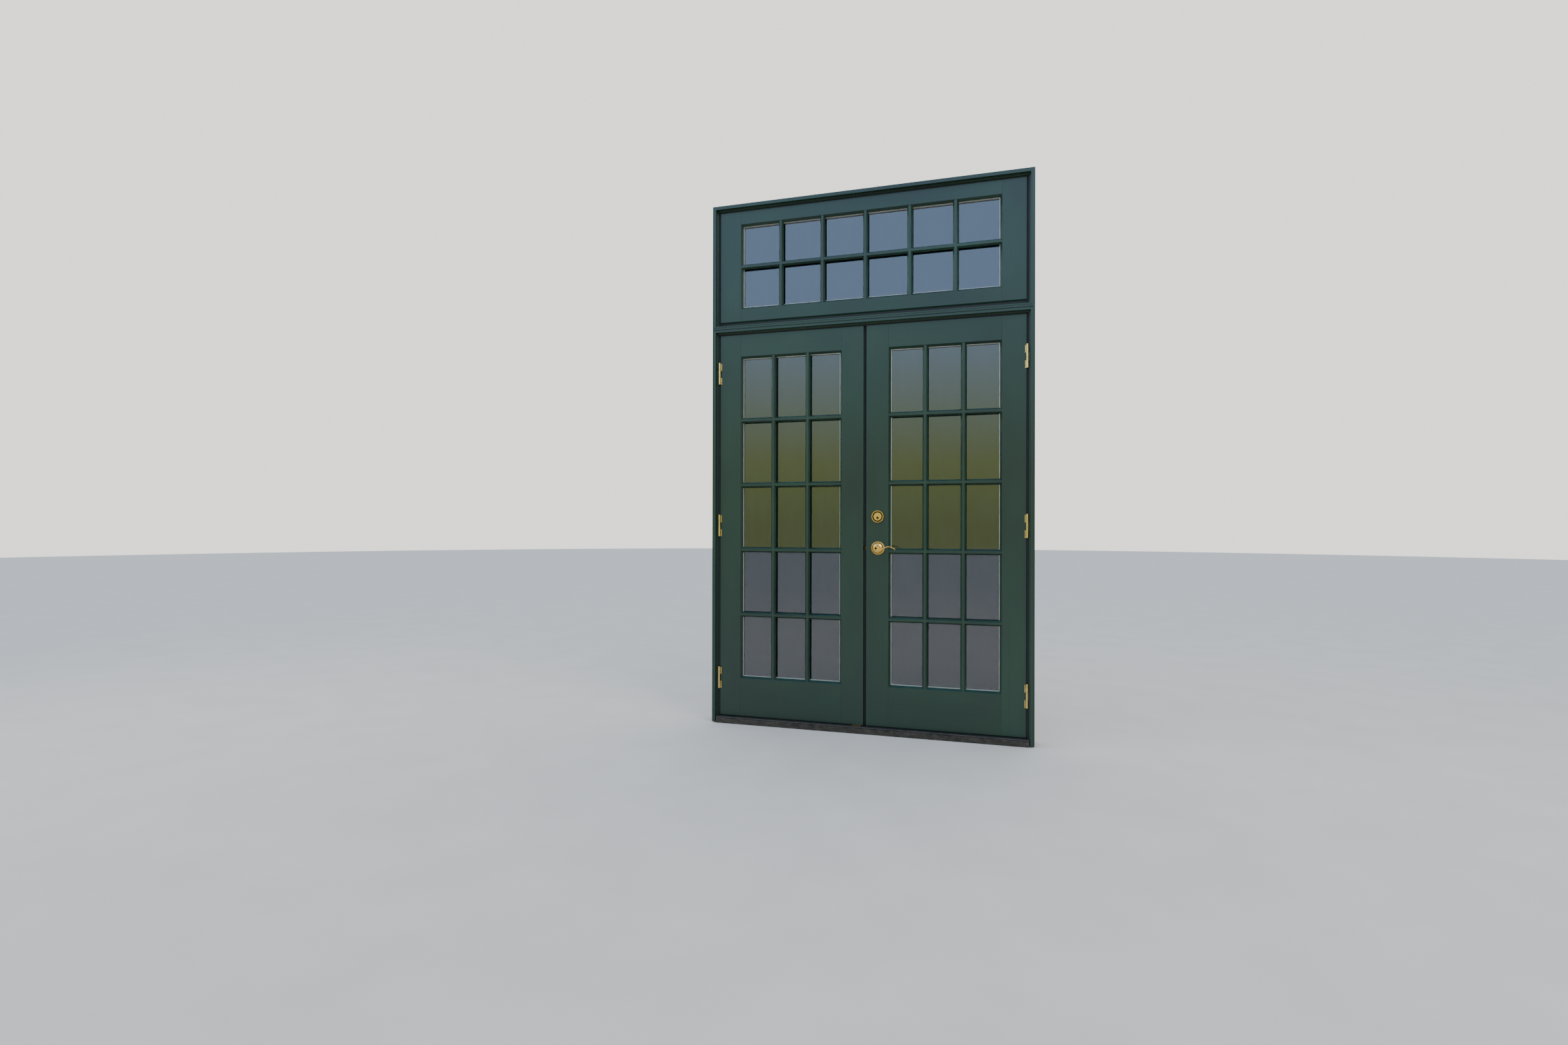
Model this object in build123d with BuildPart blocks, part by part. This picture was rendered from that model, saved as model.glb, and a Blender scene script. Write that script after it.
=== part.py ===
from build123d import *
import os

# French doors: two outward-opening glazed leaves under a fixed transom light, in a timber frame.
# X runs to the right seen from outside, Y into the house, Z up. Millimetres.
# The origin is the middle of the threshold's underside.

os.makedirs("parts", exist_ok=True)

# Leaves and their joinery
LEAF_WIDTH = 762.8
LEAF_HEIGHT = 1988.0
LEAF_THICKNESS = 44.5
LEAF_STILE = 112.0
LEAF_TOP_RAIL = 113.0
LEAF_BOTTOM_RAIL = 196.0
LEAF_COLUMNS = 3
LEAF_ROWS = 5
ARRIS = 1.2                 # eased outer edges of the boards
JOINT_EASE = 0.6            # fine groove where a rail meets a stile
TENON_LENGTH = 60.0
TENON_THICKNESS = 14.0
TENON_SHOULDER = 20.0       # rail left above and below a tenon

# Transom sash, the same joinery at another size
SASH_HEIGHT = 580.5
SASH_STILE = 112.0
SASH_TOP_RAIL = 66.0
SASH_BOTTOM_RAIL = 72.0
SASH_COLUMNS = 6
SASH_ROWS = 2
DRIP_HEIGHT = 8.0           # chamfer under the sash's front edge
DRIP_DEPTH = 6.0

# Glazing
STICKING_WIDTH = 9.6        # bevel from the board's face down to the glass
STICKING_DEPTH = 13.6
REBATE_EXTRA = 4.0          # rebate reaches this far behind the board's inner edge
GLASS_CLEARANCE = 2.0
PANE_THICKNESS = 4.0
SPACER_THICKNESS = 11.0
SPACER_SIGHT = 2.5          # spacer showing past the sticking
MUNTIN_FOOT = 27.0          # bar width at the glass
MUNTIN_FACE = 12.0          # flat face of a bar
MUNTIN_SETBACK = 2.0        # bar face behind the board's face
MITRE_GAP = 0.15

# Gaps round the leaves
MEETING_GAP = 13.4
JAMB_REVEAL = 11.0
HEAD_REVEAL = 7.0
SILL_CLEARANCE = 3.0

# Frame section, measured out from the reveal edge and forward from the leaf's face
LEAF_FACE = -30.0           # Y of the leaves' outer face
STEP_B_WIDTH = 6.5
STEP_B_PROUD = 5.0
STEP_A_WIDTH = 10.5
STEP_A_PROUD = 26.0
SHOULDER_WIDTH = 9.0
SHOULDER_PROUD = 22.0
FRAME_EASE = 1.0
LIP_WIDTH = 3.5             # clearance face inside the reveal edge
LIP_DEPTH = 3.0             # clearance face starts this far behind the leaf's face
STOP_REACH = 23.5           # stop inside the reveal edge
SEAL_SPACE = 6.0            # leaf's back to the stop
FRAME_BACK = 60.0
JAMB_FOOT = 4.0             # jambs end this far above the threshold's underside
DOOR_HEAD_RISE = 22.0       # reveal edge of the door head to the joint with the transom

# Threshold
THRESHOLD_HEIGHT = 35.0
THRESHOLD_PROUD = 30.0
NOSE_HEIGHT = 7.0
NOSE_RADIUS = 2.6
NOSE_SET_BACK = 2.0
BAND_HEIGHT = 5.0
BAND_GROOVE = 2.5
GROOVE_DEPTH = 3.0
SILL_LAP = 12.5             # stops at sill and transom sill lap the leaf and sash this far
RIDGE_WIDTH = 14.0
THRESHOLD_BACK_HEIGHT = 22.0

# Transom sill
SILL_NOSE = 16.4
SILL_GROOVE_LOW = 5.0
SILL_GROOVE_HIGH = 10.4
SILL_GROOVE_DEPTH = 2.0
SASH_LIFT = 18.1            # nose top to the sash's underside
SILL_SEAT_GAP = 11.5        # sash's underside to the sill's level seat
SILL_SLOPE_END = 4.0        # slope ends this far behind the sash's face
BLOCK_LENGTH = 100.0

# Seals
SEAL_CLEARANCE = 0.3
KERF_WIDTH = 2.5
KERF_DEPTH = 7.0
KERF_OFFSET = 16.0          # kerf inside the reveal edge
EDGE_SEAL_CLEARANCE = 0.8
EDGE_SEAL_COVER = 1.5
EDGE_SEAL_DEPTH = 10.0
EDGE_SEAL_SKIN = 2.0

# Hinges
HINGE_BOTTOM_INSET = 194.2  # leaf's bottom to the middle of the lowest hinge
HINGE_TOP_INSET = 199.8     # leaf's top to the middle of the highest hinge
HINGE_HEIGHT = 108.0
PLATE_THICKNESS = 2.5
PLATE_DEPTH = 32.0          # plate behind the leaf's face
BARREL_RADIUS = 6.0
AXIS_OUT = 3.5              # pin axis outside the leaf's edge
AXIS_PROUD = 7.0            # pin axis in front of the leaf's face
PIN_RADIUS = 3.0
PIN_CLEARANCE = 0.05
PIN_HEAD_HEIGHT = 5.5
PIN_HEAD_DOME = 1.5
KNUCKLE_GAP = 0.4
EAR_INSET = 3.0
EAR_WIDTH = 5.0
EAR_PROUD = 2.0
EAR_RECESS = 1.6
EAR_WEB = 1.0
SEAL_END_GAP = 1.5

# Jamb screws
SCREW_RADIUS = 3.0
SCREW_HEAD_RADIUS = 6.0
SCREW_BACK = 40.0           # behind the leaf's face
DOOR_SCREW_BOTTOM = 340.0   # leaf's bottom to the lowest screw
DOOR_SCREW_TOP = 388.0      # leaf's top to the highest screw
DOOR_SCREWS = 4
TRANSOM_SCREW_INSET = 150.0

# Astragal on the passive leaf
ASTRAGAL_PROJECTION = 10.0
ASTRAGAL_FRONT = 10.0       # behind the leaf's face
ASTRAGAL_SEAL = 1.3
ASTRAGAL_SEAL_BACK = 4.5    # seal in from the astragal's back
ASTRAGAL_SEAL_DEPTH = 10.0

# Lock positions on the active leaf
LOCK_BACKSET = 60.0
LEVER_HEIGHT = 882.5
LOCK_GAP = 92.0             # between the rosette and the deadbolt's collar
PLUG_DROP = 6.5             # key plug below the deadbolt collar's centre
FACEPLATE_HEIGHT = 57.0
FACEPLATE_WIDTH = 25.4
FACEPLATE_THICKNESS = 2.5
RUNNING = 0.06              # radial clearance of turning and sliding pieces

# Latch
LATCH_TUBE_RADIUS = 12.0
LATCH_BORE_RADIUS = 10.0
LATCH_TUBE_LENGTH = 40.0
LATCH_NOSE = 11.0
LATCH_HEIGHT = 15.0
LATCH_WIDTH = 12.0
LATCH_BEVEL = 8.0
LATCH_NECK = 8.0
LATCH_TAIL = 41.0
DRUM_RADIUS = 20.0
DRUM_SET_IN = 1.0
DRUM_BORE = 6.2
SPINDLE = 8.0

# Levers and rosettes
ROSETTE_RADIUS = 33.0
ROSETTE_RIM = 5.0
ROSETTE_EDGE = 3.0
ROSETTE_GROOVE = 2.0
GROOVE_OUTER = 28.5
GROOVE_INNER = 24.0
ROSETTE_DOME = 11.0
ROSETTE_DOME_RADIUS = 14.0
NECK_RADIUS = 11.0
LEVER_PROJECTION = 62.0
LEVER_DEPTH = 13.0
HUB_RADIUS = 12.5
HUB_HOLE_RADIUS = 5.5
HUB_HOLE_DEPTH = 8.0
BLADE_EASE = 1.0
SPINDLE_SOCKET = 30.0

# Deadbolt
COLLAR_RADIUS = 31.0
COLLAR_TOP_RADIUS = 29.5
COLLAR_RIM_RADIUS = 26.0
COLLAR_PROUD = 13.0
COLLAR_WELL_RADIUS = 21.5
COLLAR_WELL = 5.0
CYLINDER_RADIUS = 20.0
CYLINDER_PROUD = 12.0
PLUG_RADIUS = 6.5
PLUG_RECESS = 2.0
PLUG_BACK = 4.0
KEYWAY_WIDTH = 1.8
KEYWAY_HEIGHT = 8.5
KEYWAY_DEPTH = 7.0
BOLT_HEIGHT = 18.0
BOLT_WIDTH = 14.0
BOLT_LENGTH = 44.0
BOLT_REST = 1.3             # bolt's end behind the leaf's edge when drawn back
BOLT_THROW = 25.0
CASE_WALL = 2.0
CASE_LENGTH = 70.0
TAIL_WIDTH = 6.0
TAIL_THICKNESS = 2.4
TAIL_BORE = 4.2
TURN_PLATE_RADIUS = 28.0
TURN_PLATE_PROUD = 6.0
TURN_SHAFT_RADIUS = 5.0
TURN_STANDOFF = 8.0
TURN_LENGTH = 40.0
TURN_HEIGHT = 12.0
TURN_THICKNESS = 7.0

# Strikes on the passive leaf
STRIKE_HEIGHT = 64.0
STRIKE_WIDTH = 28.0
STRIKE_THICKNESS = 2.0
STRIKE_POCKET = 13.0
POCKET_CLEARANCE = 1.0

# Flush bolts of the passive leaf
FLUSH_X = -37.5
FLUSH_DEPTH = 27.0          # rod's axis behind the leaf's face
FLUSH_RADIUS = 6.0
FLUSH_REACH = 180.0         # leaf's end to the thumb-piece
FLUSH_TAIL = 8.0
FLUSH_THROW = 16.0
FLUSH_REST = 0.5
THUMB_RADIUS = 4.5
THUMB_FLANGE = 7.0
THUMB_PROUD = 6.0
FLUSH_PLATE_WIDTH = 24.0
FLUSH_PLATE_HEIGHT = 96.0
SOCKET_RADIUS = 6.8
SOCKET_DEPTH = 14.5
BOLT_STRIKE_WIDTH = 45.0
BOLT_STRIKE_THICKNESS = 2.3
BOLT_STRIKE_FRONT = 8.0     # threshold strike in front of the leaf's face
BOLT_STRIKE_BACK = 14.0     # strikes behind the rod's axis

# Places that follow from the sizes above
LEAF_BACK = LEAF_FACE + LEAF_THICKNESS
LIP_FACE = LEAF_FACE + LIP_DEPTH
STOP_FACE = LEAF_BACK + SEAL_SPACE
HALF_GAP = MEETING_GAP / 2
LEAF_EDGE = HALF_GAP + LEAF_WIDTH
OPENING_HALF = LEAF_EDGE + JAMB_REVEAL
STEP_A_START = STEP_B_WIDTH
SHOULDER_START = STEP_A_START + STEP_A_WIDTH
SECTION_WIDTH = SHOULDER_START + SHOULDER_WIDTH
FRAME_HALF = OPENING_HALF + SECTION_WIDTH
CLEAR_HALF = OPENING_HALF - LIP_WIDTH
STOP_HALF = OPENING_HALF - STOP_REACH
FRAME_FRONT = LEAF_FACE - STEP_A_PROUD
LEAF_BOTTOM = THRESHOLD_HEIGHT + SILL_CLEARANCE
LEAF_TOP = LEAF_BOTTOM + LEAF_HEIGHT
HEAD_REVEAL_Z = LEAF_TOP + HEAD_REVEAL
UNIT_JOINT = HEAD_REVEAL_Z + DOOR_HEAD_RISE
SILL_NOSE_TOP = UNIT_JOINT + SILL_NOSE
SASH_BOTTOM = SILL_NOSE_TOP + SASH_LIFT
SASH_TOP = SASH_BOTTOM + SASH_HEIGHT
SILL_SEAT = SASH_BOTTOM - SILL_SEAT_GAP
TRANSOM_REVEAL_Z = SASH_TOP + HEAD_REVEAL
FRAME_TOP = TRANSOM_REVEAL_Z + SECTION_WIDTH
GLASS_FRONT = LEAF_FACE + STICKING_DEPTH
GLASS_BACK = GLASS_FRONT + 2 * PANE_THICKNESS + SPACER_THICKNESS
AXIS_X = LEAF_EDGE + AXIS_OUT
AXIS_Y = LEAF_FACE - AXIS_PROUD
LOCK_X = HALF_GAP + LOCK_BACKSET
LEVER_Z = LEAF_BOTTOM + LEVER_HEIGHT
COLLAR_Z = LEVER_Z + ROSETTE_RADIUS + LOCK_GAP + COLLAR_RADIUS
PLUG_Z = COLLAR_Z - PLUG_DROP
LEAF_MIDDLE = LEAF_FACE + LEAF_THICKNESS / 2
FLUSH_Y = LEAF_FACE + FLUSH_DEPTH
ASTRAGAL_EDGE = -HALF_GAP + ASTRAGAL_PROJECTION
BULB_RADIUS = (SEAL_SPACE - SEAL_CLEARANCE) / 2
BULB_Y = STOP_FACE - BULB_RADIUS
KERF_HALF = OPENING_HALF - KERF_OFFSET
SIDES = {"left": -1, "right": 1}


def block(x, y, z, mode=Mode.ADD):
    """Box between two X, two Y and two Z values, in the current part."""
    with Locations(((x[0] + x[1]) / 2, (y[0] + y[1]) / 2, (z[0] + z[1]) / 2)):
        Box(abs(x[1] - x[0]), abs(y[1] - y[0]), abs(z[1] - z[0]), mode=mode)


def outline(plane, points):
    """Closed straight-sided face on a plane."""
    with BuildSketch(plane) as sketch:
        with BuildLine():
            Polyline(*points, close=True)
        make_face()
    return sketch.sketch


def slab(points, y, mode=Mode.ADD):
    """Front outline of (X, Z) points, between two Y values."""
    extrude(outline(Plane.XZ.offset(-y[0]), points), amount=y[0] - y[1], mode=mode)


def post(points, z, mode=Mode.ADD):
    """Plan section of (X, Y) points, between two heights."""
    extrude(outline(Plane.XY.offset(z[0]), points), amount=z[1] - z[0], mode=mode)


def bar(points, x, mode=Mode.ADD):
    """Cross-section of (Y, Z) points, between two X values."""
    extrude(outline(Plane.YZ.offset(x[0]), points), amount=x[1] - x[0], mode=mode)


def rod(x, y, z, radius, axis, length, mode=Mode.ADD):
    """Cylinder that starts at a point and runs along a direction."""
    with Locations(Plane(origin=(x, y, z), z_dir=axis)):
        Cylinder(radius, length, align=(Align.CENTER, Align.CENTER, Align.MIN), mode=mode)


def turned(x, z, profile, y0, outward):
    """Solid of revolution about a Y axis: profile holds (radius, height off the face at y0)."""
    plane = Plane(origin=(x, 0, z), x_dir=(1, 0, 0), z_dir=(0, 0, 1))
    points = [(radius, y0 + outward * height) for radius, height in profile]
    revolve(outline(plane, points), axis=Axis((x, 0, z), (0, 1, 0)))


def frame_profile():
    """Section shared by jambs and heads: distance out from the reveal edge, and Y."""
    step_b = LEAF_FACE - STEP_B_PROUD
    shoulder = LEAF_FACE - SHOULDER_PROUD
    kerf_in = -KERF_OFFSET - KERF_WIDTH / 2
    kerf_out = -KERF_OFFSET + KERF_WIDTH / 2
    return [
        (0, step_b),
        (STEP_A_START, step_b),
        (STEP_A_START, FRAME_FRONT),
        (SHOULDER_START, FRAME_FRONT),
        (SHOULDER_START, shoulder),
        (SECTION_WIDTH, shoulder),
        (SECTION_WIDTH, FRAME_BACK),
        (-STOP_REACH, FRAME_BACK),
        (-STOP_REACH, STOP_FACE),
        (kerf_in, STOP_FACE),
        (kerf_in, STOP_FACE + KERF_DEPTH),
        (kerf_out, STOP_FACE + KERF_DEPTH),
        (kerf_out, STOP_FACE),
        (-LIP_WIDTH, STOP_FACE),
        (-LIP_WIDTH, LIP_FACE),
        (0, LIP_FACE),
    ]


def eased_section(plane, points, depth_axis):
    """Frame section with its front corners eased, as paint rounds them."""
    with BuildSketch(plane) as sketch:
        with BuildLine():
            Polyline(*points, close=True)
        make_face()
        front = sketch.vertices().filter_by_position(depth_axis, FRAME_FRONT - 1, LEAF_FACE - 1)
        fillet(front, FRAME_EASE)
    return sketch.sketch


def upright_section(side, z):
    """Jamb section at a height, on one side of the opening."""
    points = [(side * (OPENING_HALF + out), y) for out, y in frame_profile()]
    return eased_section(Plane.XY.offset(z), points, Axis.Y)


def head_section(reveal_z):
    """Head section at the left end of the frame."""
    points = [(y, reveal_z + out) for out, y in frame_profile()]
    return eased_section(Plane.YZ.offset(-FRAME_HALF), points, Axis.X)


def jamb_screws(side, heights):
    """Countersunk screw holes through a jamb, behind the leaf's edge."""
    for z in heights:
        inner = (side * CLEAR_HALF, LEAF_FACE + SCREW_BACK, z)
        with Locations(Plane(origin=inner, z_dir=(-side, 0, 0))):
            CounterSinkHole(SCREW_RADIUS, SCREW_HEAD_RADIUS)


# Door unit of the frame
hinge_low = LEAF_BOTTOM + HINGE_BOTTOM_INSET
hinge_high = LEAF_TOP - HINGE_TOP_INSET
hinge_heights = [hinge_low, (hinge_low + hinge_high) / 2, hinge_high]
screw_pitch = (LEAF_HEIGHT - DOOR_SCREW_BOTTOM - DOOR_SCREW_TOP) / (DOOR_SCREWS - 1)
door_screws = [LEAF_BOTTOM + DOOR_SCREW_BOTTOM + screw_pitch * index for index in range(DOOR_SCREWS)]

for side_name, side in SIDES.items():
    mitre = [
        (side * STOP_HALF, 0),
        (side * FRAME_HALF, 0),
        (side * FRAME_HALF, UNIT_JOINT),
        (side * (OPENING_HALF + DOOR_HEAD_RISE), UNIT_JOINT),
        (side * STOP_HALF, HEAD_REVEAL_Z - STOP_REACH),
    ]
    with BuildPart() as jamb:
        extrude(upright_section(side, JAMB_FOOT), amount=UNIT_JOINT - JAMB_FOOT)
        slab(mitre, (FRAME_FRONT - 1, FRAME_BACK + 1), Mode.INTERSECT)
        for z in hinge_heights:
            block(
                (side * CLEAR_HALF, side * (CLEAR_HALF + PLATE_THICKNESS)),
                (LIP_FACE, LEAF_FACE + PLATE_DEPTH),
                (z - HINGE_HEIGHT / 2, z + HINGE_HEIGHT / 2),
                Mode.SUBTRACT,
            )
        jamb_screws(side, door_screws)
    jamb.part.label = f"{side_name}_jamb"
    export_step(jamb.part, f"parts/{side_name}_jamb.step")

with BuildPart() as door_head:
    extrude(head_section(HEAD_REVEAL_Z), amount=2 * FRAME_HALF)
    slab(
        [
            (-STOP_HALF, HEAD_REVEAL_Z - STOP_REACH),
            (STOP_HALF, HEAD_REVEAL_Z - STOP_REACH),
            (OPENING_HALF + DOOR_HEAD_RISE, UNIT_JOINT),
            (-OPENING_HALF - DOOR_HEAD_RISE, UNIT_JOINT),
        ],
        (FRAME_FRONT - 1, FRAME_BACK + 1),
        Mode.INTERSECT,
    )
    block(
        (FLUSH_X - BOLT_STRIKE_WIDTH / 2, FLUSH_X + BOLT_STRIKE_WIDTH / 2),
        (FLUSH_Y - BOLT_STRIKE_BACK, FLUSH_Y + BOLT_STRIKE_BACK),
        (HEAD_REVEAL_Z - LIP_WIDTH, HEAD_REVEAL_Z - LIP_WIDTH + BOLT_STRIKE_THICKNESS),
        Mode.SUBTRACT,
    )
    rod(FLUSH_X, FLUSH_Y, HEAD_REVEAL_Z - LIP_WIDTH, SOCKET_RADIUS, (0, 0, 1), SOCKET_DEPTH, Mode.SUBTRACT)
door_head.part.label = "door_head"
export_step(door_head.part, "parts/door_head.step")

nose_y = LEAF_FACE - THRESHOLD_PROUD
nose_low = THRESHOLD_HEIGHT - NOSE_HEIGHT
band_high = nose_low - BAND_GROOVE
band_low = band_high - BAND_HEIGHT
ridge_top = LEAF_BOTTOM + SILL_LAP
threshold_kerf = LEAF_BOTTOM + HEAD_REVEAL
threshold_section = [
    (nose_y + NOSE_SET_BACK, 0),
    (nose_y + NOSE_SET_BACK, band_low - BAND_GROOVE),
    (nose_y + NOSE_SET_BACK + GROOVE_DEPTH, band_low - BAND_GROOVE),
    (nose_y + NOSE_SET_BACK + GROOVE_DEPTH, band_low),
    (nose_y + NOSE_SET_BACK, band_low),
    (nose_y + NOSE_SET_BACK, band_high),
    (nose_y + NOSE_SET_BACK + GROOVE_DEPTH, band_high),
    (nose_y + NOSE_SET_BACK + GROOVE_DEPTH, nose_low),
    (nose_y, nose_low),
    (nose_y, THRESHOLD_HEIGHT),
    (STOP_FACE, THRESHOLD_HEIGHT),
    (STOP_FACE, threshold_kerf - KERF_WIDTH / 2),
    (STOP_FACE + KERF_DEPTH, threshold_kerf - KERF_WIDTH / 2),
    (STOP_FACE + KERF_DEPTH, threshold_kerf + KERF_WIDTH / 2),
    (STOP_FACE, threshold_kerf + KERF_WIDTH / 2),
    (STOP_FACE, ridge_top),
    (STOP_FACE + RIDGE_WIDTH, ridge_top),
    (FRAME_BACK, THRESHOLD_BACK_HEIGHT),
    (FRAME_BACK, 0),
]
with BuildPart() as threshold:
    with BuildSketch(Plane.YZ.offset(-OPENING_HALF)) as sill_section:
        with BuildLine():
            Polyline(*threshold_section, close=True)
        make_face()
        nose = sill_section.vertices().filter_by_position(Axis.X, nose_y - 1, nose_y + 1)
        fillet(nose, NOSE_RADIUS)
    extrude(amount=2 * OPENING_HALF)
    post(
        [
            (-OPENING_HALF, nose_y - 1),
            (OPENING_HALF, nose_y - 1),
            (OPENING_HALF, LIP_FACE),
            (CLEAR_HALF, LIP_FACE),
            (CLEAR_HALF, STOP_FACE),
            (STOP_HALF, STOP_FACE),
            (STOP_HALF, FRAME_BACK + 1),
            (-STOP_HALF, FRAME_BACK + 1),
            (-STOP_HALF, STOP_FACE),
            (-CLEAR_HALF, STOP_FACE),
            (-CLEAR_HALF, LIP_FACE),
            (-OPENING_HALF, LIP_FACE),
        ],
        (-1, ridge_top + 1),
        Mode.INTERSECT,
    )
    rod(FLUSH_X, FLUSH_Y, THRESHOLD_HEIGHT, SOCKET_RADIUS, (0, 0, -1), SOCKET_DEPTH, Mode.SUBTRACT)
threshold.part.label = "threshold"
export_step(threshold.part, "parts/threshold.step")

# Transom unit of the frame
with BuildPart() as transom_sill:
    groove_y = FRAME_FRONT + SILL_GROOVE_DEPTH
    sill_points = [
        (FRAME_FRONT, UNIT_JOINT),
        (FRAME_FRONT, UNIT_JOINT + SILL_GROOVE_LOW),
        (groove_y, UNIT_JOINT + SILL_GROOVE_LOW),
        (groove_y, UNIT_JOINT + SILL_GROOVE_HIGH),
        (FRAME_FRONT, UNIT_JOINT + SILL_GROOVE_HIGH),
        (FRAME_FRONT, SILL_NOSE_TOP),
        (LEAF_FACE + SILL_SLOPE_END, SILL_SEAT),
        (STOP_FACE, SILL_SEAT),
        (STOP_FACE, SASH_BOTTOM + SILL_LAP),
        (FRAME_BACK, SASH_BOTTOM + SILL_LAP),
        (FRAME_BACK, UNIT_JOINT),
    ]
    bar(sill_points, (-OPENING_HALF - SHOULDER_START, OPENING_HALF + SHOULDER_START))
transom_sill.part.label = "transom_sill"
export_step(transom_sill.part, "parts/transom_sill.step")

transom_screws = [SASH_BOTTOM + TRANSOM_SCREW_INSET, SASH_TOP - TRANSOM_SCREW_INSET]

for side_name, side in SIDES.items():
    mitre = [
        (side * STOP_HALF, UNIT_JOINT),
        (side * FRAME_HALF, UNIT_JOINT),
        (side * FRAME_HALF, FRAME_TOP),
        (side * STOP_HALF, TRANSOM_REVEAL_Z - STOP_REACH),
    ]
    with BuildPart() as transom_jamb:
        extrude(upright_section(side, UNIT_JOINT), amount=FRAME_TOP - UNIT_JOINT)
        slab(mitre, (FRAME_FRONT - 1, FRAME_BACK + 1), Mode.INTERSECT)
        add(transom_sill.part, mode=Mode.SUBTRACT)
        block(
            (side * OPENING_HALF, side * (OPENING_HALF + SHOULDER_START)),
            (FRAME_FRONT, LEAF_FACE),
            (UNIT_JOINT, SILL_NOSE_TOP),
            Mode.SUBTRACT,
        )
        jamb_screws(side, transom_screws)
    transom_jamb.part.label = f"transom_{side_name}_jamb"
    export_step(transom_jamb.part, f"parts/transom_{side_name}_jamb.step")

with BuildPart() as transom_head:
    extrude(head_section(TRANSOM_REVEAL_Z), amount=2 * FRAME_HALF)
    slab(
        [
            (-STOP_HALF, TRANSOM_REVEAL_Z - STOP_REACH),
            (STOP_HALF, TRANSOM_REVEAL_Z - STOP_REACH),
            (FRAME_HALF, FRAME_TOP),
            (-FRAME_HALF, FRAME_TOP),
        ],
        (FRAME_FRONT - 1, FRAME_BACK + 1),
        Mode.INTERSECT,
    )
transom_head.part.label = "transom_head"
export_step(transom_head.part, "parts/transom_head.step")


# Seals
def bulb_ring(low, high):
    """Bulb seal round a rebate, with its fin in the kerf, between two kerf heights."""
    fin_back = STOP_FACE + KERF_DEPTH - SEAL_CLEARANCE
    half_fin = KERF_WIDTH / 2
    for side in SIDES.values():
        rod(side * KERF_HALF, BULB_Y, low, BULB_RADIUS, (0, 0, 1), high - low)
        block(
            (side * KERF_HALF - half_fin, side * KERF_HALF + half_fin),
            (BULB_Y, fin_back),
            (low - half_fin, high + half_fin),
        )
    for z, fin_end in ((low, STOP_HALF), (high, KERF_HALF)):
        rod(-KERF_HALF, BULB_Y, z, BULB_RADIUS, (1, 0, 0), 2 * KERF_HALF)
        block((-fin_end, fin_end), (BULB_Y, fin_back), (z - half_fin, z + half_fin))


def edge_seal_profile(reveal):
    """Black seal in the front of the gap: distance out from the reveal edge, and Y."""
    tip = EDGE_SEAL_CLEARANCE - reveal
    cover = LIP_FACE - EDGE_SEAL_COVER
    back = LEAF_FACE + EDGE_SEAL_DEPTH
    return [
        (0, cover),
        (0, LIP_FACE),
        (-LIP_WIDTH, LIP_FACE),
        (-LIP_WIDTH, back),
        (-LIP_WIDTH - EDGE_SEAL_SKIN, back),
        (tip, LIP_FACE + EDGE_SEAL_SKIN),
        (tip, cover),
    ]


def edge_seal(low, reveal_z):
    """Edge seal up both jambs and along the head."""
    side_profile = edge_seal_profile(JAMB_REVEAL)
    head_profile = edge_seal_profile(HEAD_REVEAL)
    lip = (LIP_FACE, LEAF_BACK)
    for side in SIDES.values():
        post([(side * (OPENING_HALF + out), y) for out, y in side_profile], (low, reveal_z))
    bar([(y, reveal_z + out) for out, y in head_profile], (-OPENING_HALF, OPENING_HALF))
    for side in SIDES.values():
        block((side * CLEAR_HALF, side * OPENING_HALF), lip, (low, reveal_z), Mode.SUBTRACT)
    block((-OPENING_HALF, OPENING_HALF), lip, (reveal_z - LIP_WIDTH, reveal_z), Mode.SUBTRACT)


with BuildPart() as door_seals:
    edge_seal(THRESHOLD_HEIGHT, HEAD_REVEAL_Z)
    for side in SIDES.values():
        for z in hinge_heights:
            block(
                (side * LEAF_EDGE, side * OPENING_HALF),
                (LEAF_FACE, LEAF_FACE + EDGE_SEAL_DEPTH),
                (z - HINGE_HEIGHT / 2 - SEAL_END_GAP, z + HINGE_HEIGHT / 2 + PIN_HEAD_HEIGHT + SEAL_END_GAP),
                Mode.SUBTRACT,
            )
    bulb_ring(threshold_kerf, HEAD_REVEAL_Z - KERF_OFFSET)
door_seals.part.label = "door_seals"
export_step(door_seals.part, "parts/door_seals.step")

transom_kerf = SASH_BOTTOM + HEAD_REVEAL
with BuildPart() as transom_seals:
    edge_seal(SASH_BOTTOM, TRANSOM_REVEAL_Z)
    block(
        (-OPENING_HALF + LIP_WIDTH, OPENING_HALF - LIP_WIDTH),
        (LEAF_FACE + SILL_SLOPE_END, LEAF_FACE + EDGE_SEAL_DEPTH + EDGE_SEAL_SKIN),
        (SILL_SEAT, SASH_BOTTOM),
    )
    for side in SIDES.values():
        middle = side * (LEAF_EDGE - SASH_STILE / 2)
        block(
            (middle - BLOCK_LENGTH / 2, middle + BLOCK_LENGTH / 2),
            (LEAF_MIDDLE, LEAF_BACK),
            (SILL_SEAT, SASH_BOTTOM),
        )
    for side in SIDES.values():
        rod(side * KERF_HALF, BULB_Y, SASH_BOTTOM + SILL_LAP, BULB_RADIUS, (0, 0, 1),
            TRANSOM_REVEAL_Z - KERF_OFFSET - SASH_BOTTOM - SILL_LAP)
    rod(-KERF_HALF, BULB_Y, TRANSOM_REVEAL_Z - KERF_OFFSET, BULB_RADIUS, (1, 0, 0), 2 * KERF_HALF)
transom_seals.part.label = "transom_seals"
export_step(transom_seals.part, "parts/transom_seals.step")


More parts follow.
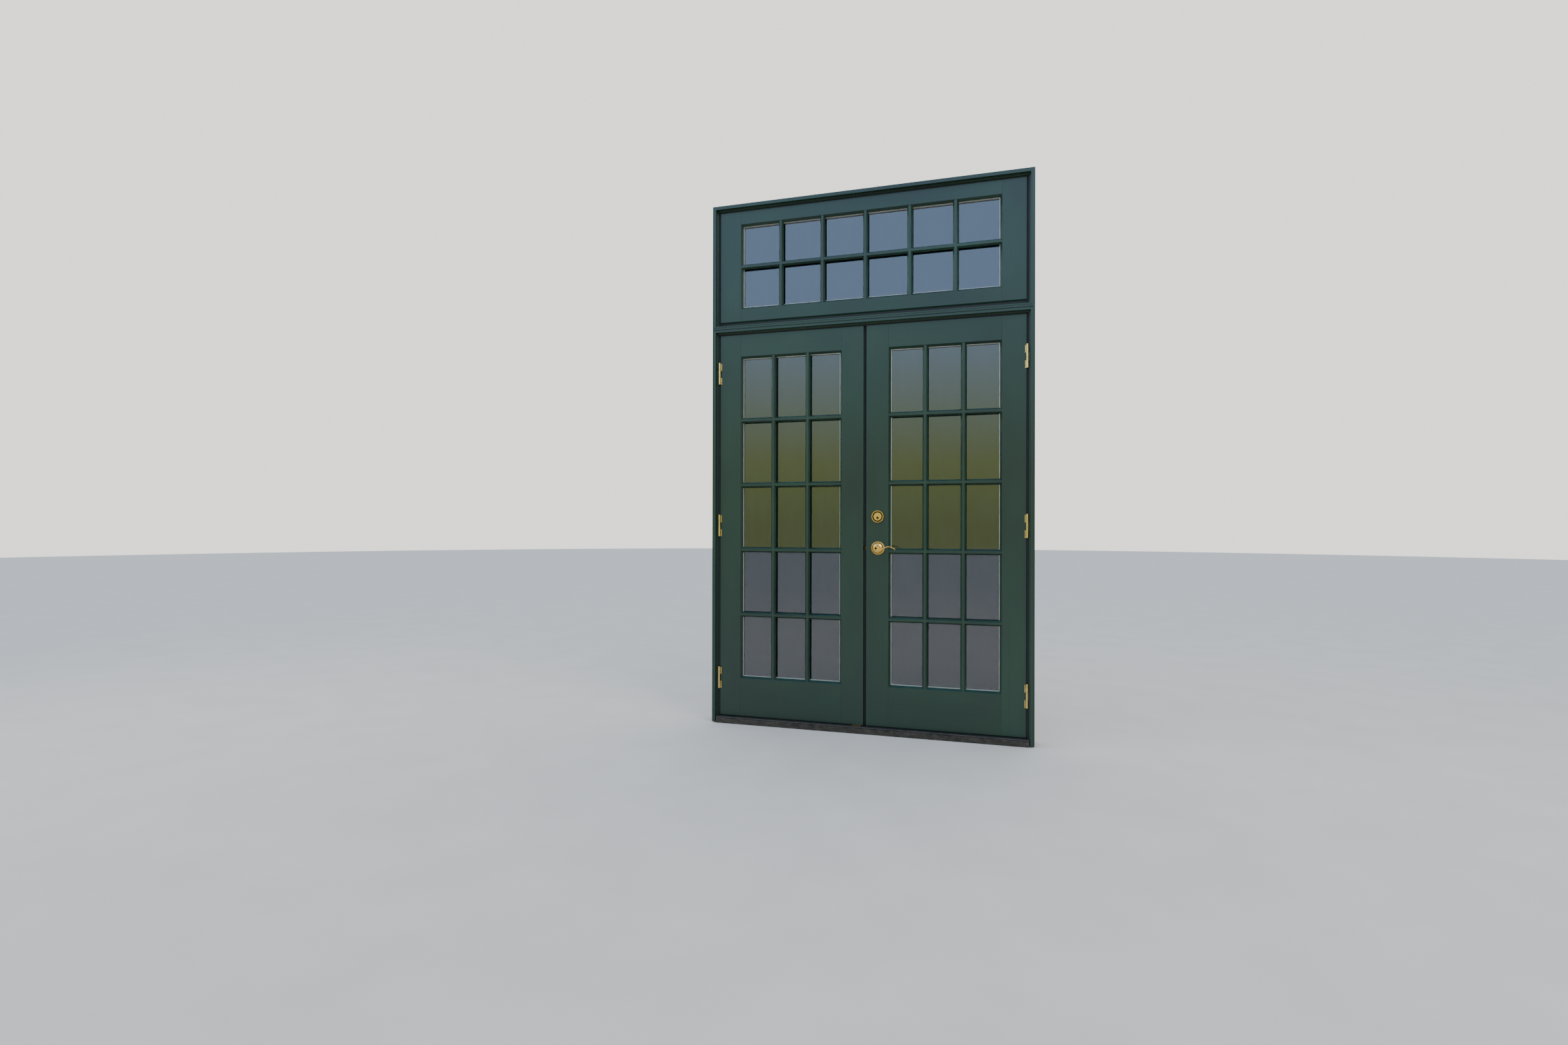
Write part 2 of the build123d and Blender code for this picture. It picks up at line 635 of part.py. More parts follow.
# Sashes: the two leaves and the transom light share their joinery
class Sash:
    """Places of one glazed sash, worked out from its outer size and board widths."""

    def __init__(self, name, x, z, stile, top_rail, bottom_rail, columns, rows):
        self.name = name
        self.x0, self.x1 = x
        self.z0, self.z1 = z
        self.in_x0 = self.x0 + stile
        self.in_x1 = self.x1 - stile
        self.in_z0 = self.z0 + bottom_rail
        self.in_z1 = self.z1 - top_rail
        self.columns = columns
        self.rows = rows

    def inset(self, distance):
        """Opening between the boards, shrunk by a distance: two X and two Z values."""
        return (
            (self.in_x0 + distance, self.in_x1 - distance),
            (self.in_z0 + distance, self.in_z1 - distance),
        )

    def bar_places(self):
        """X of the upright muntins and Z of the level ones, evenly dividing the glass."""
        (x0, x1), (z0, z1) = self.inset(STICKING_WIDTH)
        pitch_x = (x1 - x0 + MUNTIN_FOOT) / self.columns
        pitch_z = (z1 - z0 + MUNTIN_FOOT) / self.rows
        xs = [x0 + pitch_x * index - MUNTIN_FOOT / 2 for index in range(1, self.columns)]
        zs = [z0 + pitch_z * index - MUNTIN_FOOT / 2 for index in range(1, self.rows)]
        return xs, zs


def funnel(sash, board_y, glass_y):
    """Bevelled opening from a board's face down to the glass, as a solid tool."""
    (x0, x1), (z0, z1) = sash.inset(0)
    middle = ((x0 + x1) / 2, (z0 + z1) / 2)
    with BuildPart() as tool:
        with BuildSketch(Plane.XZ.offset(-board_y)):
            with Locations(middle):
                Rectangle(x1 - x0, z1 - z0)
        with BuildSketch(Plane.XZ.offset(-glass_y)):
            with Locations(middle):
                Rectangle(x1 - x0 - 2 * STICKING_WIDTH, z1 - z0 - 2 * STICKING_WIDTH)
        loft()
    return tool.part


def mitred_quads(x, z, width, gap):
    """Four mitred strips inside a rectangle: left, right, bottom and top."""
    x0, x1 = x
    z0, z1 = z
    left = [(x0, z0 + gap), (x0 + width, z0 + width + gap), (x0 + width, z1 - width - gap), (x0, z1 - gap)]
    right = [(x1, z0 + gap), (x1 - width, z0 + width + gap), (x1 - width, z1 - width - gap), (x1, z1 - gap)]
    bottom = [(x0 + gap, z0), (x1 - gap, z0), (x1 - width - gap, z0 + width), (x0 + width + gap, z0 + width)]
    top = [(x0 + gap, z1), (x1 - gap, z1), (x1 - width - gap, z1 - width), (x0 + width + gap, z1 - width)]
    return left, right, bottom, top


def carve_glazing(sash, front_funnel):
    """Cut the bevel and the rebate of the glass out of the current board."""
    add(front_funnel, mode=Mode.SUBTRACT)
    (x0, x1), (z0, z1) = sash.inset(-REBATE_EXTRA)
    block((x0, x1), (GLASS_FRONT, LEAF_BACK + 1), (z0, z1), Mode.SUBTRACT)


def tenon_heights(low, high):
    """Heights of the tenon of a rail between two heights."""
    return low + TENON_SHOULDER, high - TENON_SHOULDER


def tenons(sash, side, mode):
    """Both rails' tenons on one side of a sash, as tongues or as mortises."""
    inner = sash.in_x0 if side < 0 else sash.in_x1
    reach = inner + side * TENON_LENGTH
    thickness = (LEAF_MIDDLE - TENON_THICKNESS / 2, LEAF_MIDDLE + TENON_THICKNESS / 2)
    for low, high in ((sash.z0, sash.in_z0), (sash.in_z1, sash.z1)):
        block((inner, reach), thickness, tenon_heights(low, high), mode)


def stile(sash, side, node, cuts):
    """Stile with its moulded lip, rebate, mortises and further cuts."""
    outer, inner = (sash.x0, sash.in_x0) if side < 0 else (sash.x1, sash.in_x1)
    front_funnel = funnel(sash, LEAF_FACE, GLASS_FRONT)
    lips = mitred_quads(*sash.inset(0), STICKING_WIDTH, 0)
    with BuildPart() as board:
        block((outer, inner), (LEAF_FACE, LEAF_BACK), (sash.z0, sash.z1))
        chamfer(board.edges().filter_by(Axis.Z).group_by(Axis.X)[0 if side < 0 else -1], ARRIS)
        slab(lips[0] if side < 0 else lips[1], (LEAF_FACE, GLASS_FRONT))
        carve_glazing(sash, front_funnel)
        tenons(sash, side, Mode.SUBTRACT)
        for cut in cuts:
            add(cut, mode=Mode.SUBTRACT)
    board.part.label = node
    export_step(board.part, f"parts/{node}.step")


def rail(sash, low, high, lip, node, cuts):
    """Rail between the stiles, with its tenons, moulded lip and rebate."""
    front_funnel = funnel(sash, LEAF_FACE, GLASS_FRONT)
    lips = mitred_quads(*sash.inset(0), STICKING_WIDTH, 0)
    thickness = (LEAF_MIDDLE - TENON_THICKNESS / 2, LEAF_MIDDLE + TENON_THICKNESS / 2)
    with BuildPart() as board:
        block((sash.in_x0, sash.in_x1), (LEAF_FACE, LEAF_BACK), (low, high))
        chamfer(board.edges().filter_by(Axis.Z), JOINT_EASE)
        slab(lips[lip], (LEAF_FACE, GLASS_FRONT))
        carve_glazing(sash, front_funnel)
        block(
            (sash.in_x0 - TENON_LENGTH, sash.in_x1 + TENON_LENGTH),
            thickness,
            tenon_heights(low, high),
        )
        for cut in cuts:
            add(cut, mode=Mode.SUBTRACT)
    board.part.label = node
    export_step(board.part, f"parts/{node}.step")


def muntins(sash, face_y, glass_y, board_y, node):
    """Lattice of bevelled bars on one side of the glass, coped to the bevel round it."""
    foot = MUNTIN_FOOT / 2
    face = MUNTIN_FACE / 2
    xs, zs = sash.bar_places()
    with BuildPart() as lattice:
        for x in xs:
            post([(x - foot, glass_y), (x - face, face_y), (x + face, face_y), (x + foot, glass_y)],
                 (sash.in_z0, sash.in_z1))
        for z in zs:
            bar([(glass_y, z - foot), (face_y, z - face), (face_y, z + face), (glass_y, z + foot)],
                (sash.in_x0, sash.in_x1))
        add(funnel(sash, board_y, glass_y), mode=Mode.INTERSECT)
    lattice.part.label = node
    export_step(lattice.part, f"parts/{node}.step")


def glazing(sash):
    """Sealed unit, muntins on both faces, and the mitred beads that hold the unit in."""
    name = sash.name
    glass_x, glass_z = sash.inset(GLASS_CLEARANCE - REBATE_EXTRA)
    sight_x, sight_z = sash.inset(STICKING_WIDTH + SPACER_SIGHT)
    first_back = GLASS_FRONT + PANE_THICKNESS
    with BuildPart() as glass:
        block(glass_x, (GLASS_FRONT, first_back), glass_z)
        block(glass_x, (GLASS_BACK - PANE_THICKNESS, GLASS_BACK), glass_z)
    glass.part.label = f"{name}_glass"
    export_step(glass.part, f"parts/{name}_glass.step")

    with BuildPart() as spacer:
        block(glass_x, (first_back, GLASS_BACK - PANE_THICKNESS), glass_z)
        block(sight_x, (first_back, GLASS_BACK - PANE_THICKNESS), sight_z, Mode.SUBTRACT)
    spacer.part.label = f"{name}_spacer"
    export_step(spacer.part, f"parts/{name}_spacer.step")

    muntins(sash, LEAF_FACE + MUNTIN_SETBACK, GLASS_FRONT, LEAF_FACE, f"{name}_outer_muntins")
    muntins(sash, LEAF_BACK - MUNTIN_SETBACK, GLASS_BACK, LEAF_BACK, f"{name}_inner_muntins")

    with BuildPart() as beads:
        for quad in mitred_quads(*sash.inset(-REBATE_EXTRA), REBATE_EXTRA + STICKING_WIDTH, MITRE_GAP):
            slab(quad, (GLASS_BACK, LEAF_BACK))
        add(funnel(sash, LEAF_BACK, GLASS_BACK), mode=Mode.SUBTRACT)
    beads.part.label = f"{name}_glazing_beads"
    export_step(beads.part, f"parts/{name}_glazing_beads.step")


leaves = {
    "left": Sash("left_leaf", (-LEAF_EDGE, -HALF_GAP), (LEAF_BOTTOM, LEAF_TOP),
                 LEAF_STILE, LEAF_TOP_RAIL, LEAF_BOTTOM_RAIL, LEAF_COLUMNS, LEAF_ROWS),
    "right": Sash("right_leaf", (HALF_GAP, LEAF_EDGE), (LEAF_BOTTOM, LEAF_TOP),
                  LEAF_STILE, LEAF_TOP_RAIL, LEAF_BOTTOM_RAIL, LEAF_COLUMNS, LEAF_ROWS),
}
transom = Sash("transom", (-LEAF_EDGE, LEAF_EDGE), (SASH_BOTTOM, SASH_TOP),
               SASH_STILE, SASH_TOP_RAIL, SASH_BOTTOM_RAIL, SASH_COLUMNS, SASH_ROWS)

# Recesses for the hinge plates and their ears
hinge_cuts = {}
for side_name, side in SIDES.items():
    with BuildPart() as recess:
        for z in hinge_heights:
            low = z - HINGE_HEIGHT / 2
            high = z + HINGE_HEIGHT / 2
            third = HINGE_HEIGHT / 3
            block(
                (side * (LEAF_EDGE - PLATE_THICKNESS), side * (LEAF_EDGE + 1)),
                (LEAF_FACE - 1, LEAF_FACE + PLATE_DEPTH),
                (low, high),
            )
            for ear_low, ear_high in ((low, low + third), (high - third, high)):
                block(
                    (side * (LEAF_EDGE - EAR_INSET - EAR_WIDTH), side * (LEAF_EDGE + 1)),
                    (LEAF_FACE - 1, LEAF_FACE + EAR_RECESS),
                    (ear_low, ear_high),
                )
    hinge_cuts[side_name] = recess.part

# Lock bores in the active leaf
with BuildPart() as lock_cuts:
    for z in (LEVER_Z, PLUG_Z):
        block(
            (HALF_GAP - 1, HALF_GAP + FACEPLATE_THICKNESS),
            (LEAF_MIDDLE - FACEPLATE_WIDTH / 2, LEAF_MIDDLE + FACEPLATE_WIDTH / 2),
            (z - FACEPLATE_HEIGHT / 2, z + FACEPLATE_HEIGHT / 2),
        )
    rod(HALF_GAP, LEAF_MIDDLE, LEVER_Z, LATCH_TUBE_RADIUS, (1, 0, 0), LOCK_BACKSET)
    rod(LOCK_X, LEAF_FACE - 1, LEVER_Z, DRUM_RADIUS, (0, 1, 0), LEAF_THICKNESS + 2)
    block(
        (HALF_GAP, HALF_GAP + CASE_LENGTH),
        (LEAF_MIDDLE - BOLT_WIDTH / 2 - CASE_WALL, LEAF_MIDDLE + BOLT_WIDTH / 2 + CASE_WALL),
        (PLUG_Z - BOLT_HEIGHT / 2 - CASE_WALL, PLUG_Z + BOLT_HEIGHT / 2 + CASE_WALL),
    )
    rod(LOCK_X, LEAF_FACE - 1, PLUG_Z, PLUG_RADIUS + RUNNING, (0, 1, 0), LEAF_THICKNESS + 2)

# Recesses in the passive leaf: strikes, bolt pocket, flush bolts and their plates
FLUSH_ENDS = {
    "top": (1, LEAF_TOP),
    "bottom": (-1, LEAF_BOTTOM),
}
with BuildPart() as passive_cuts:
    for z in (LEVER_Z, PLUG_Z):
        block(
            (-HALF_GAP - STRIKE_THICKNESS, -HALF_GAP + 1),
            (LEAF_MIDDLE - STRIKE_WIDTH / 2, LEAF_MIDDLE + STRIKE_WIDTH / 2),
            (z - STRIKE_HEIGHT / 2, z + STRIKE_HEIGHT / 2),
        )
        block(
            (-HALF_GAP - STRIKE_POCKET, -HALF_GAP + 1),
            (LEAF_MIDDLE - BOLT_WIDTH / 2 - POCKET_CLEARANCE, LEAF_MIDDLE + BOLT_WIDTH / 2 + POCKET_CLEARANCE),
            (z - BOLT_HEIGHT / 2 - POCKET_CLEARANCE, z + BOLT_HEIGHT / 2 + POCKET_CLEARANCE),
        )
    for up, end in FLUSH_ENDS.values():
        thumb_z = end - up * FLUSH_REACH
        plate_z = thumb_z + up * FLUSH_THROW / 2
        rod(FLUSH_X, FLUSH_Y, end + up, FLUSH_RADIUS + RUNNING, (0, 0, -up), FLUSH_REACH + FLUSH_TAIL + 2)
        block(
            (FLUSH_X - THUMB_RADIUS - SEAL_CLEARANCE, FLUSH_X + THUMB_RADIUS + SEAL_CLEARANCE),
            (FLUSH_Y, LEAF_BACK + 1),
            (thumb_z - up * (THUMB_RADIUS + SEAL_CLEARANCE),
             thumb_z + up * (FLUSH_THROW + THUMB_RADIUS + SEAL_CLEARANCE)),
        )
        block(
            (FLUSH_X - FLUSH_PLATE_WIDTH / 2, FLUSH_X + FLUSH_PLATE_WIDTH / 2),
            (LEAF_BACK - PLATE_THICKNESS, LEAF_BACK + 1),
            (plate_z - FLUSH_PLATE_HEIGHT / 2, plate_z + FLUSH_PLATE_HEIGHT / 2),
        )

# Drip chamfer along the transom sash's lower front edge
with BuildPart() as drip_cut:
    bar(
        [
            (LEAF_FACE - 1, SASH_BOTTOM - 1),
            (LEAF_FACE - 1, SASH_BOTTOM + DRIP_HEIGHT),
            (LEAF_FACE, SASH_BOTTOM + DRIP_HEIGHT),
            (LEAF_FACE + DRIP_DEPTH, SASH_BOTTOM),
            (LEAF_FACE + DRIP_DEPTH, SASH_BOTTOM - 1),
        ],
        (-LEAF_EDGE - 1, LEAF_EDGE + 1),
    )

stile(leaves["left"], -1, "left_leaf_hinge_stile", [hinge_cuts["left"]])
stile(leaves["left"], 1, "left_leaf_meeting_stile", [passive_cuts.part])
stile(leaves["right"], -1, "right_leaf_meeting_stile", [lock_cuts.part])
stile(leaves["right"], 1, "right_leaf_hinge_stile", [hinge_cuts["right"]])
for leaf in leaves.values():
    rail(leaf, leaf.z0, leaf.in_z0, 2, f"{leaf.name}_bottom_rail", [])
    rail(leaf, leaf.in_z1, leaf.z1, 3, f"{leaf.name}_top_rail", [])
    glazing(leaf)

stile(transom, -1, "transom_left_stile", [drip_cut.part])
stile(transom, 1, "transom_right_stile", [drip_cut.part])
rail(transom, transom.z0, transom.in_z0, 2, "transom_bottom_rail", [drip_cut.part])
rail(transom, transom.in_z1, transom.z1, 3, "transom_top_rail", [])
glazing(transom)


# Hinges: three knuckles, the middle one on the jamb's plate
knuckle = HINGE_HEIGHT / 3
for side_name, side in SIDES.items():
    with BuildPart() as leaf_plates:
        for z in hinge_heights:
            low = z - HINGE_HEIGHT / 2
            block(
                (side * (LEAF_EDGE - PLATE_THICKNESS), side * LEAF_EDGE),
                (LEAF_FACE, LEAF_FACE + PLATE_DEPTH),
                (low, low + HINGE_HEIGHT),
            )
            for base in (low, low + 2 * knuckle):
                start = base if base == low else base + KNUCKLE_GAP / 2
                height = knuckle - KNUCKLE_GAP / 2
                rod(side * AXIS_X, AXIS_Y, start, BARREL_RADIUS, (0, 0, 1), height)
                block(
                    (side * (LEAF_EDGE - PLATE_THICKNESS), side * LEAF_EDGE),
                    (AXIS_Y, LEAF_FACE),
                    (start, start + height),
                )
                block(
                    (side * (LEAF_EDGE - EAR_INSET - EAR_WIDTH), side * (LEAF_EDGE - PLATE_THICKNESS)),
                    (LEAF_FACE + EAR_RECESS - EAR_WEB, LEAF_FACE + EAR_RECESS),
                    (start, start + height),
                )
                block(
                    (side * (LEAF_EDGE - EAR_INSET - EAR_WIDTH), side * (LEAF_EDGE - EAR_INSET)),
                    (LEAF_FACE - EAR_PROUD, LEAF_FACE + EAR_RECESS),
                    (start, start + height),
                )
            rod(side * AXIS_X, AXIS_Y, low - 1, PIN_RADIUS + PIN_CLEARANCE, (0, 0, 1), HINGE_HEIGHT + 2,
                Mode.SUBTRACT)
    leaf_plates.part.label = f"{side_name}_leaf_hinge_plates"
    export_step(leaf_plates.part, f"parts/{side_name}_leaf_hinge_plates.step")

with BuildPart() as jamb_plates:
    for side in SIDES.values():
        for z in hinge_heights:
            middle_low = z - knuckle / 2 + KNUCKLE_GAP / 2
            middle_high = z + knuckle / 2 - KNUCKLE_GAP / 2
            block(
                (side * CLEAR_HALF, side * (CLEAR_HALF + PLATE_THICKNESS)),
                (LIP_FACE, LEAF_FACE + PLATE_DEPTH),
                (z - HINGE_HEIGHT / 2, z + HINGE_HEIGHT / 2),
            )
            block(
                (side * CLEAR_HALF, side * (CLEAR_HALF + PLATE_THICKNESS)),
                (AXIS_Y, LIP_FACE),
                (middle_low, middle_high),
            )
            rod(side * AXIS_X, AXIS_Y, middle_low, BARREL_RADIUS, (0, 0, 1), middle_high - middle_low)
            rod(side * AXIS_X, AXIS_Y, middle_low - 1, PIN_RADIUS, (0, 0, 1), knuckle + 2, Mode.SUBTRACT)
jamb_plates.part.label = "jamb_hinge_plates"
export_step(jamb_plates.part, "parts/jamb_hinge_plates.step")

with BuildPart() as hinge_pins:
    for side in SIDES.values():
        for z in hinge_heights:
            head = z + HINGE_HEIGHT / 2 + KNUCKLE_GAP
            dome = z + HINGE_HEIGHT / 2 + PIN_HEAD_HEIGHT - PIN_HEAD_DOME
            rod(side * AXIS_X, AXIS_Y, z - HINGE_HEIGHT / 2, PIN_RADIUS, (0, 0, 1), HINGE_HEIGHT + KNUCKLE_GAP)
            rod(side * AXIS_X, AXIS_Y, head, BARREL_RADIUS, (0, 0, 1), dome - head)
            with Locations((side * AXIS_X, AXIS_Y, dome + PIN_HEAD_DOME / 2)):
                Cone(BARREL_RADIUS, BARREL_RADIUS - PIN_HEAD_DOME, PIN_HEAD_DOME)
hinge_pins.part.label = "hinge_pins"
export_step(hinge_pins.part, "parts/hinge_pins.step")

# Strikes of the flush bolts
with BuildPart() as bolt_strikes:
    strike_x = (FLUSH_X - BOLT_STRIKE_WIDTH / 2, FLUSH_X + BOLT_STRIKE_WIDTH / 2)
    head_face = HEAD_REVEAL_Z - LIP_WIDTH
    block(
        strike_x,
        (FLUSH_Y - BOLT_STRIKE_BACK, FLUSH_Y + BOLT_STRIKE_BACK),
        (head_face, head_face + BOLT_STRIKE_THICKNESS),
    )
    block(
        strike_x,
        (LEAF_FACE - BOLT_STRIKE_FRONT, FLUSH_Y + BOLT_STRIKE_BACK),
        (THRESHOLD_HEIGHT, THRESHOLD_HEIGHT + BOLT_STRIKE_THICKNESS),
    )
    for z in (head_face, THRESHOLD_HEIGHT):
        rod(FLUSH_X, FLUSH_Y, z - 1, SOCKET_RADIUS, (0, 0, 1), BOLT_STRIKE_THICKNESS + 2, Mode.SUBTRACT)
bolt_strikes.part.label = "bolt_strikes"
export_step(bolt_strikes.part, "parts/bolt_strikes.step")

# Astragal and its seal on the passive leaf's meeting edge
notch = (LEVER_Z - LATCH_HEIGHT / 2 - POCKET_CLEARANCE, LEVER_Z + LATCH_HEIGHT / 2 + POCKET_CLEARANCE)
latch_back = LEAF_MIDDLE + LATCH_WIDTH / 2 + POCKET_CLEARANCE
bolt_window = (
    (LEAF_MIDDLE - BOLT_WIDTH / 2 - POCKET_CLEARANCE, LEAF_MIDDLE + BOLT_WIDTH / 2 + POCKET_CLEARANCE),
    (PLUG_Z - BOLT_HEIGHT / 2 - POCKET_CLEARANCE, PLUG_Z + BOLT_HEIGHT / 2 + POCKET_CLEARANCE),
)
with BuildPart() as astragal:
    block((-HALF_GAP, ASTRAGAL_EDGE), (LEAF_FACE + ASTRAGAL_FRONT, LEAF_BACK), (LEAF_BOTTOM, LEAF_TOP))
    fillet(astragal.edges().filter_by(Axis.Z).group_by(Axis.X)[-1], ARRIS)
    block((-HALF_GAP - 1, ASTRAGAL_EDGE + 1), (LEAF_FACE, latch_back), notch, Mode.SUBTRACT)
    block((-HALF_GAP - 1, ASTRAGAL_EDGE + 1), bolt_window[0], bolt_window[1], Mode.SUBTRACT)
astragal.part.label = "astragal"
export_step(astragal.part, "parts/astragal.step")

with BuildPart() as astragal_seal:
    seal_back = LEAF_BACK - ASTRAGAL_SEAL_BACK
    block(
        (ASTRAGAL_EDGE, ASTRAGAL_EDGE + ASTRAGAL_SEAL),
        (seal_back - ASTRAGAL_SEAL_DEPTH, seal_back),
        (LEAF_BOTTOM, LEAF_TOP),
    )
    block((-HALF_GAP, ASTRAGAL_EDGE + 2 * ASTRAGAL_SEAL), (LEAF_FACE, LEAF_BACK + 1), notch, Mode.SUBTRACT)
    block((-HALF_GAP, ASTRAGAL_EDGE + 2 * ASTRAGAL_SEAL), (LEAF_FACE, LEAF_BACK + 1), bolt_window[1],
          Mode.SUBTRACT)
astragal_seal.part.label = "astragal_seal"
export_step(astragal_seal.part, "parts/astragal_seal.step")

with BuildPart() as lock_strikes:
    for z in (LEVER_Z, PLUG_Z):
        block(
            (-HALF_GAP - STRIKE_THICKNESS, -HALF_GAP),
            (LEAF_MIDDLE - STRIKE_WIDTH / 2, LEAF_MIDDLE + STRIKE_WIDTH / 2),
            (z - STRIKE_HEIGHT / 2, z + STRIKE_HEIGHT / 2),
        )
        block(
            (-HALF_GAP - STRIKE_THICKNESS - 1, -HALF_GAP + 1),
            (LEAF_MIDDLE - BOLT_WIDTH / 2 - POCKET_CLEARANCE, LEAF_MIDDLE + BOLT_WIDTH / 2 + POCKET_CLEARANCE),
            (z - BOLT_HEIGHT / 2 - POCKET_CLEARANCE, z + BOLT_HEIGHT / 2 + POCKET_CLEARANCE),
            Mode.SUBTRACT,
        )
lock_strikes.part.label = "lock_strikes"
export_step(lock_strikes.part, "parts/lock_strikes.step")

# Flush bolts: a rod with its thumb-piece, and a slotted plate in the leaf's inner face
with BuildPart() as flush_plates:
    for up, end in FLUSH_ENDS.values():
        thumb_z = end - up * FLUSH_REACH
        plate_z = thumb_z + up * FLUSH_THROW / 2
        block(
            (FLUSH_X - FLUSH_PLATE_WIDTH / 2, FLUSH_X + FLUSH_PLATE_WIDTH / 2),
            (LEAF_BACK - PLATE_THICKNESS, LEAF_BACK),
            (plate_z - FLUSH_PLATE_HEIGHT / 2, plate_z + FLUSH_PLATE_HEIGHT / 2),
        )
        block(
            (FLUSH_X - THUMB_RADIUS - SEAL_CLEARANCE, FLUSH_X + THUMB_RADIUS + SEAL_CLEARANCE),
            (FLUSH_Y, LEAF_BACK + 1),
            (thumb_z - up * (THUMB_RADIUS + SEAL_CLEARANCE),
             thumb_z + up * (FLUSH_THROW + THUMB_RADIUS + SEAL_CLEARANCE)),
            Mode.SUBTRACT,
        )
flush_plates.part.label = "flush_bolt_plates"
export_step(flush_plates.part, "parts/flush_bolt_plates.step")

for end_name, (up, end) in FLUSH_ENDS.items():
    thumb_z = end - up * FLUSH_REACH
    with BuildPart() as flush_bolt:
        rod(FLUSH_X, FLUSH_Y, end - up * FLUSH_REST, FLUSH_RADIUS, (0, 0, -up),
            FLUSH_REACH + FLUSH_TAIL - FLUSH_REST)
        rod(FLUSH_X, FLUSH_Y, thumb_z, THUMB_RADIUS, (0, 1, 0), LEAF_BACK + THUMB_PROUD - FLUSH_Y)
        rod(FLUSH_X, LEAF_BACK + THUMB_PROUD / 2, thumb_z, THUMB_FLANGE, (0, 1, 0), THUMB_PROUD / 2)
    flush_bolt.part.label = f"{end_name}_flush_bolt"
    export_step(flush_bolt.part, f"parts/{end_name}_flush_bolt.step")

# Latch: drum and tube in one case, with the bolt inside the tube
with BuildPart() as latch_case:
    block(
        (HALF_GAP, HALF_GAP + FACEPLATE_THICKNESS),
        (LEAF_MIDDLE - FACEPLATE_WIDTH / 2, LEAF_MIDDLE + FACEPLATE_WIDTH / 2),
        (LEVER_Z - FACEPLATE_HEIGHT / 2, LEVER_Z + FACEPLATE_HEIGHT / 2),
    )
    rod(HALF_GAP, LEAF_MIDDLE, LEVER_Z, LATCH_TUBE_RADIUS, (1, 0, 0), LOCK_BACKSET)
    rod(LOCK_X, LEAF_FACE + DRUM_SET_IN, LEVER_Z, DRUM_RADIUS, (0, 1, 0), LEAF_THICKNESS - 2 * DRUM_SET_IN)
    rod(HALF_GAP - 1, LEAF_MIDDLE, LEVER_Z, LATCH_BORE_RADIUS, (1, 0, 0), LOCK_BACKSET + 1, Mode.SUBTRACT)
    rod(LOCK_X, LEAF_FACE, LEVER_Z, DRUM_BORE, (0, 1, 0), LEAF_THICKNESS, Mode.SUBTRACT)
latch_case.part.label = "latch_case"
export_step(latch_case.part, "parts/latch_case.step")

with BuildPart() as latch_bolt:
    nose_tip = HALF_GAP - LATCH_NOSE
    shank_end = nose_tip + LATCH_NOSE + LATCH_TAIL
    block(
        (nose_tip, HALF_GAP + FACEPLATE_WIDTH / 2),
        (LEAF_MIDDLE - LATCH_WIDTH / 2, LEAF_MIDDLE + LATCH_WIDTH / 2),
        (LEVER_Z - LATCH_HEIGHT / 2, LEVER_Z + LATCH_HEIGHT / 2),
    )
    post(
        [
            (nose_tip - 1, LEAF_MIDDLE + LATCH_WIDTH / 2 - LATCH_BEVEL),
            (nose_tip, LEAF_MIDDLE + LATCH_WIDTH / 2 - LATCH_BEVEL),
            (HALF_GAP - 1, LEAF_MIDDLE + LATCH_WIDTH / 2),
            (HALF_GAP - 1, LEAF_MIDDLE + LATCH_WIDTH),
            (nose_tip - 1, LEAF_MIDDLE + LATCH_WIDTH),
        ],
        (LEVER_Z - LATCH_HEIGHT, LEVER_Z + LATCH_HEIGHT),
        Mode.SUBTRACT,
    )
    block(
        (HALF_GAP, shank_end),
        (LEAF_MIDDLE - LATCH_NECK / 2, LEAF_MIDDLE + LATCH_NECK / 2),
        (LEVER_Z - LATCH_NECK / 2, LEVER_Z + LATCH_NECK / 2),
    )
latch_bolt.part.label = "latch_bolt"
export_step(latch_bolt.part, "parts/latch_bolt.step")

# Rosettes on both faces of the leaf, each turned in one piece
rosette_profile = [
    (NECK_RADIUS + RUNNING, 0),
    (ROSETTE_RADIUS, 0),
    (ROSETTE_RADIUS, ROSETTE_EDGE),
    (ROSETTE_RADIUS - ROSETTE_GROOVE, ROSETTE_RIM),
    (GROOVE_OUTER, ROSETTE_RIM),
    (GROOVE_OUTER - 1, ROSETTE_GROOVE),
    (GROOVE_INNER, ROSETTE_GROOVE),
    (GROOVE_INNER - 1, ROSETTE_RIM + 1),
    (ROSETTE_DOME_RADIUS + 4, ROSETTE_DOME - 2),
    (ROSETTE_DOME_RADIUS, ROSETTE_DOME),
    (NECK_RADIUS + RUNNING, ROSETTE_DOME),
]
with BuildPart() as rosettes:
    turned(LOCK_X, LEVER_Z, rosette_profile, LEAF_FACE, -1)
    turned(LOCK_X, LEVER_Z, rosette_profile, LEAF_BACK, 1)
rosettes.part.label = "lever_rosettes"
export_step(rosettes.part, "parts/lever_rosettes.step")


# Levers: a hub on a neck, and a slim blade that dips, rises to a hump and falls to its tip
LOWER_EDGE = ((0, -12.5), (10, -12.2), (20, -9.7), (29, -6.6), (43, 0.2), (52, 4.5),
              (60, 6.3), (69, 5.9), (77.5, 3.7), (86, -0.8), (94, -7.4))
UPPER_EDGE = ((0, 12.5), (8.5, 8.6), (15, 2.2), (21, -0.9), (29, -0.3), (35, 1.5), (43, 4.9), (52, 8.8),
              (60, 10.3), (69, 9.6), (77.5, 7.2), (86, 2.8), (95.5, -4.6))


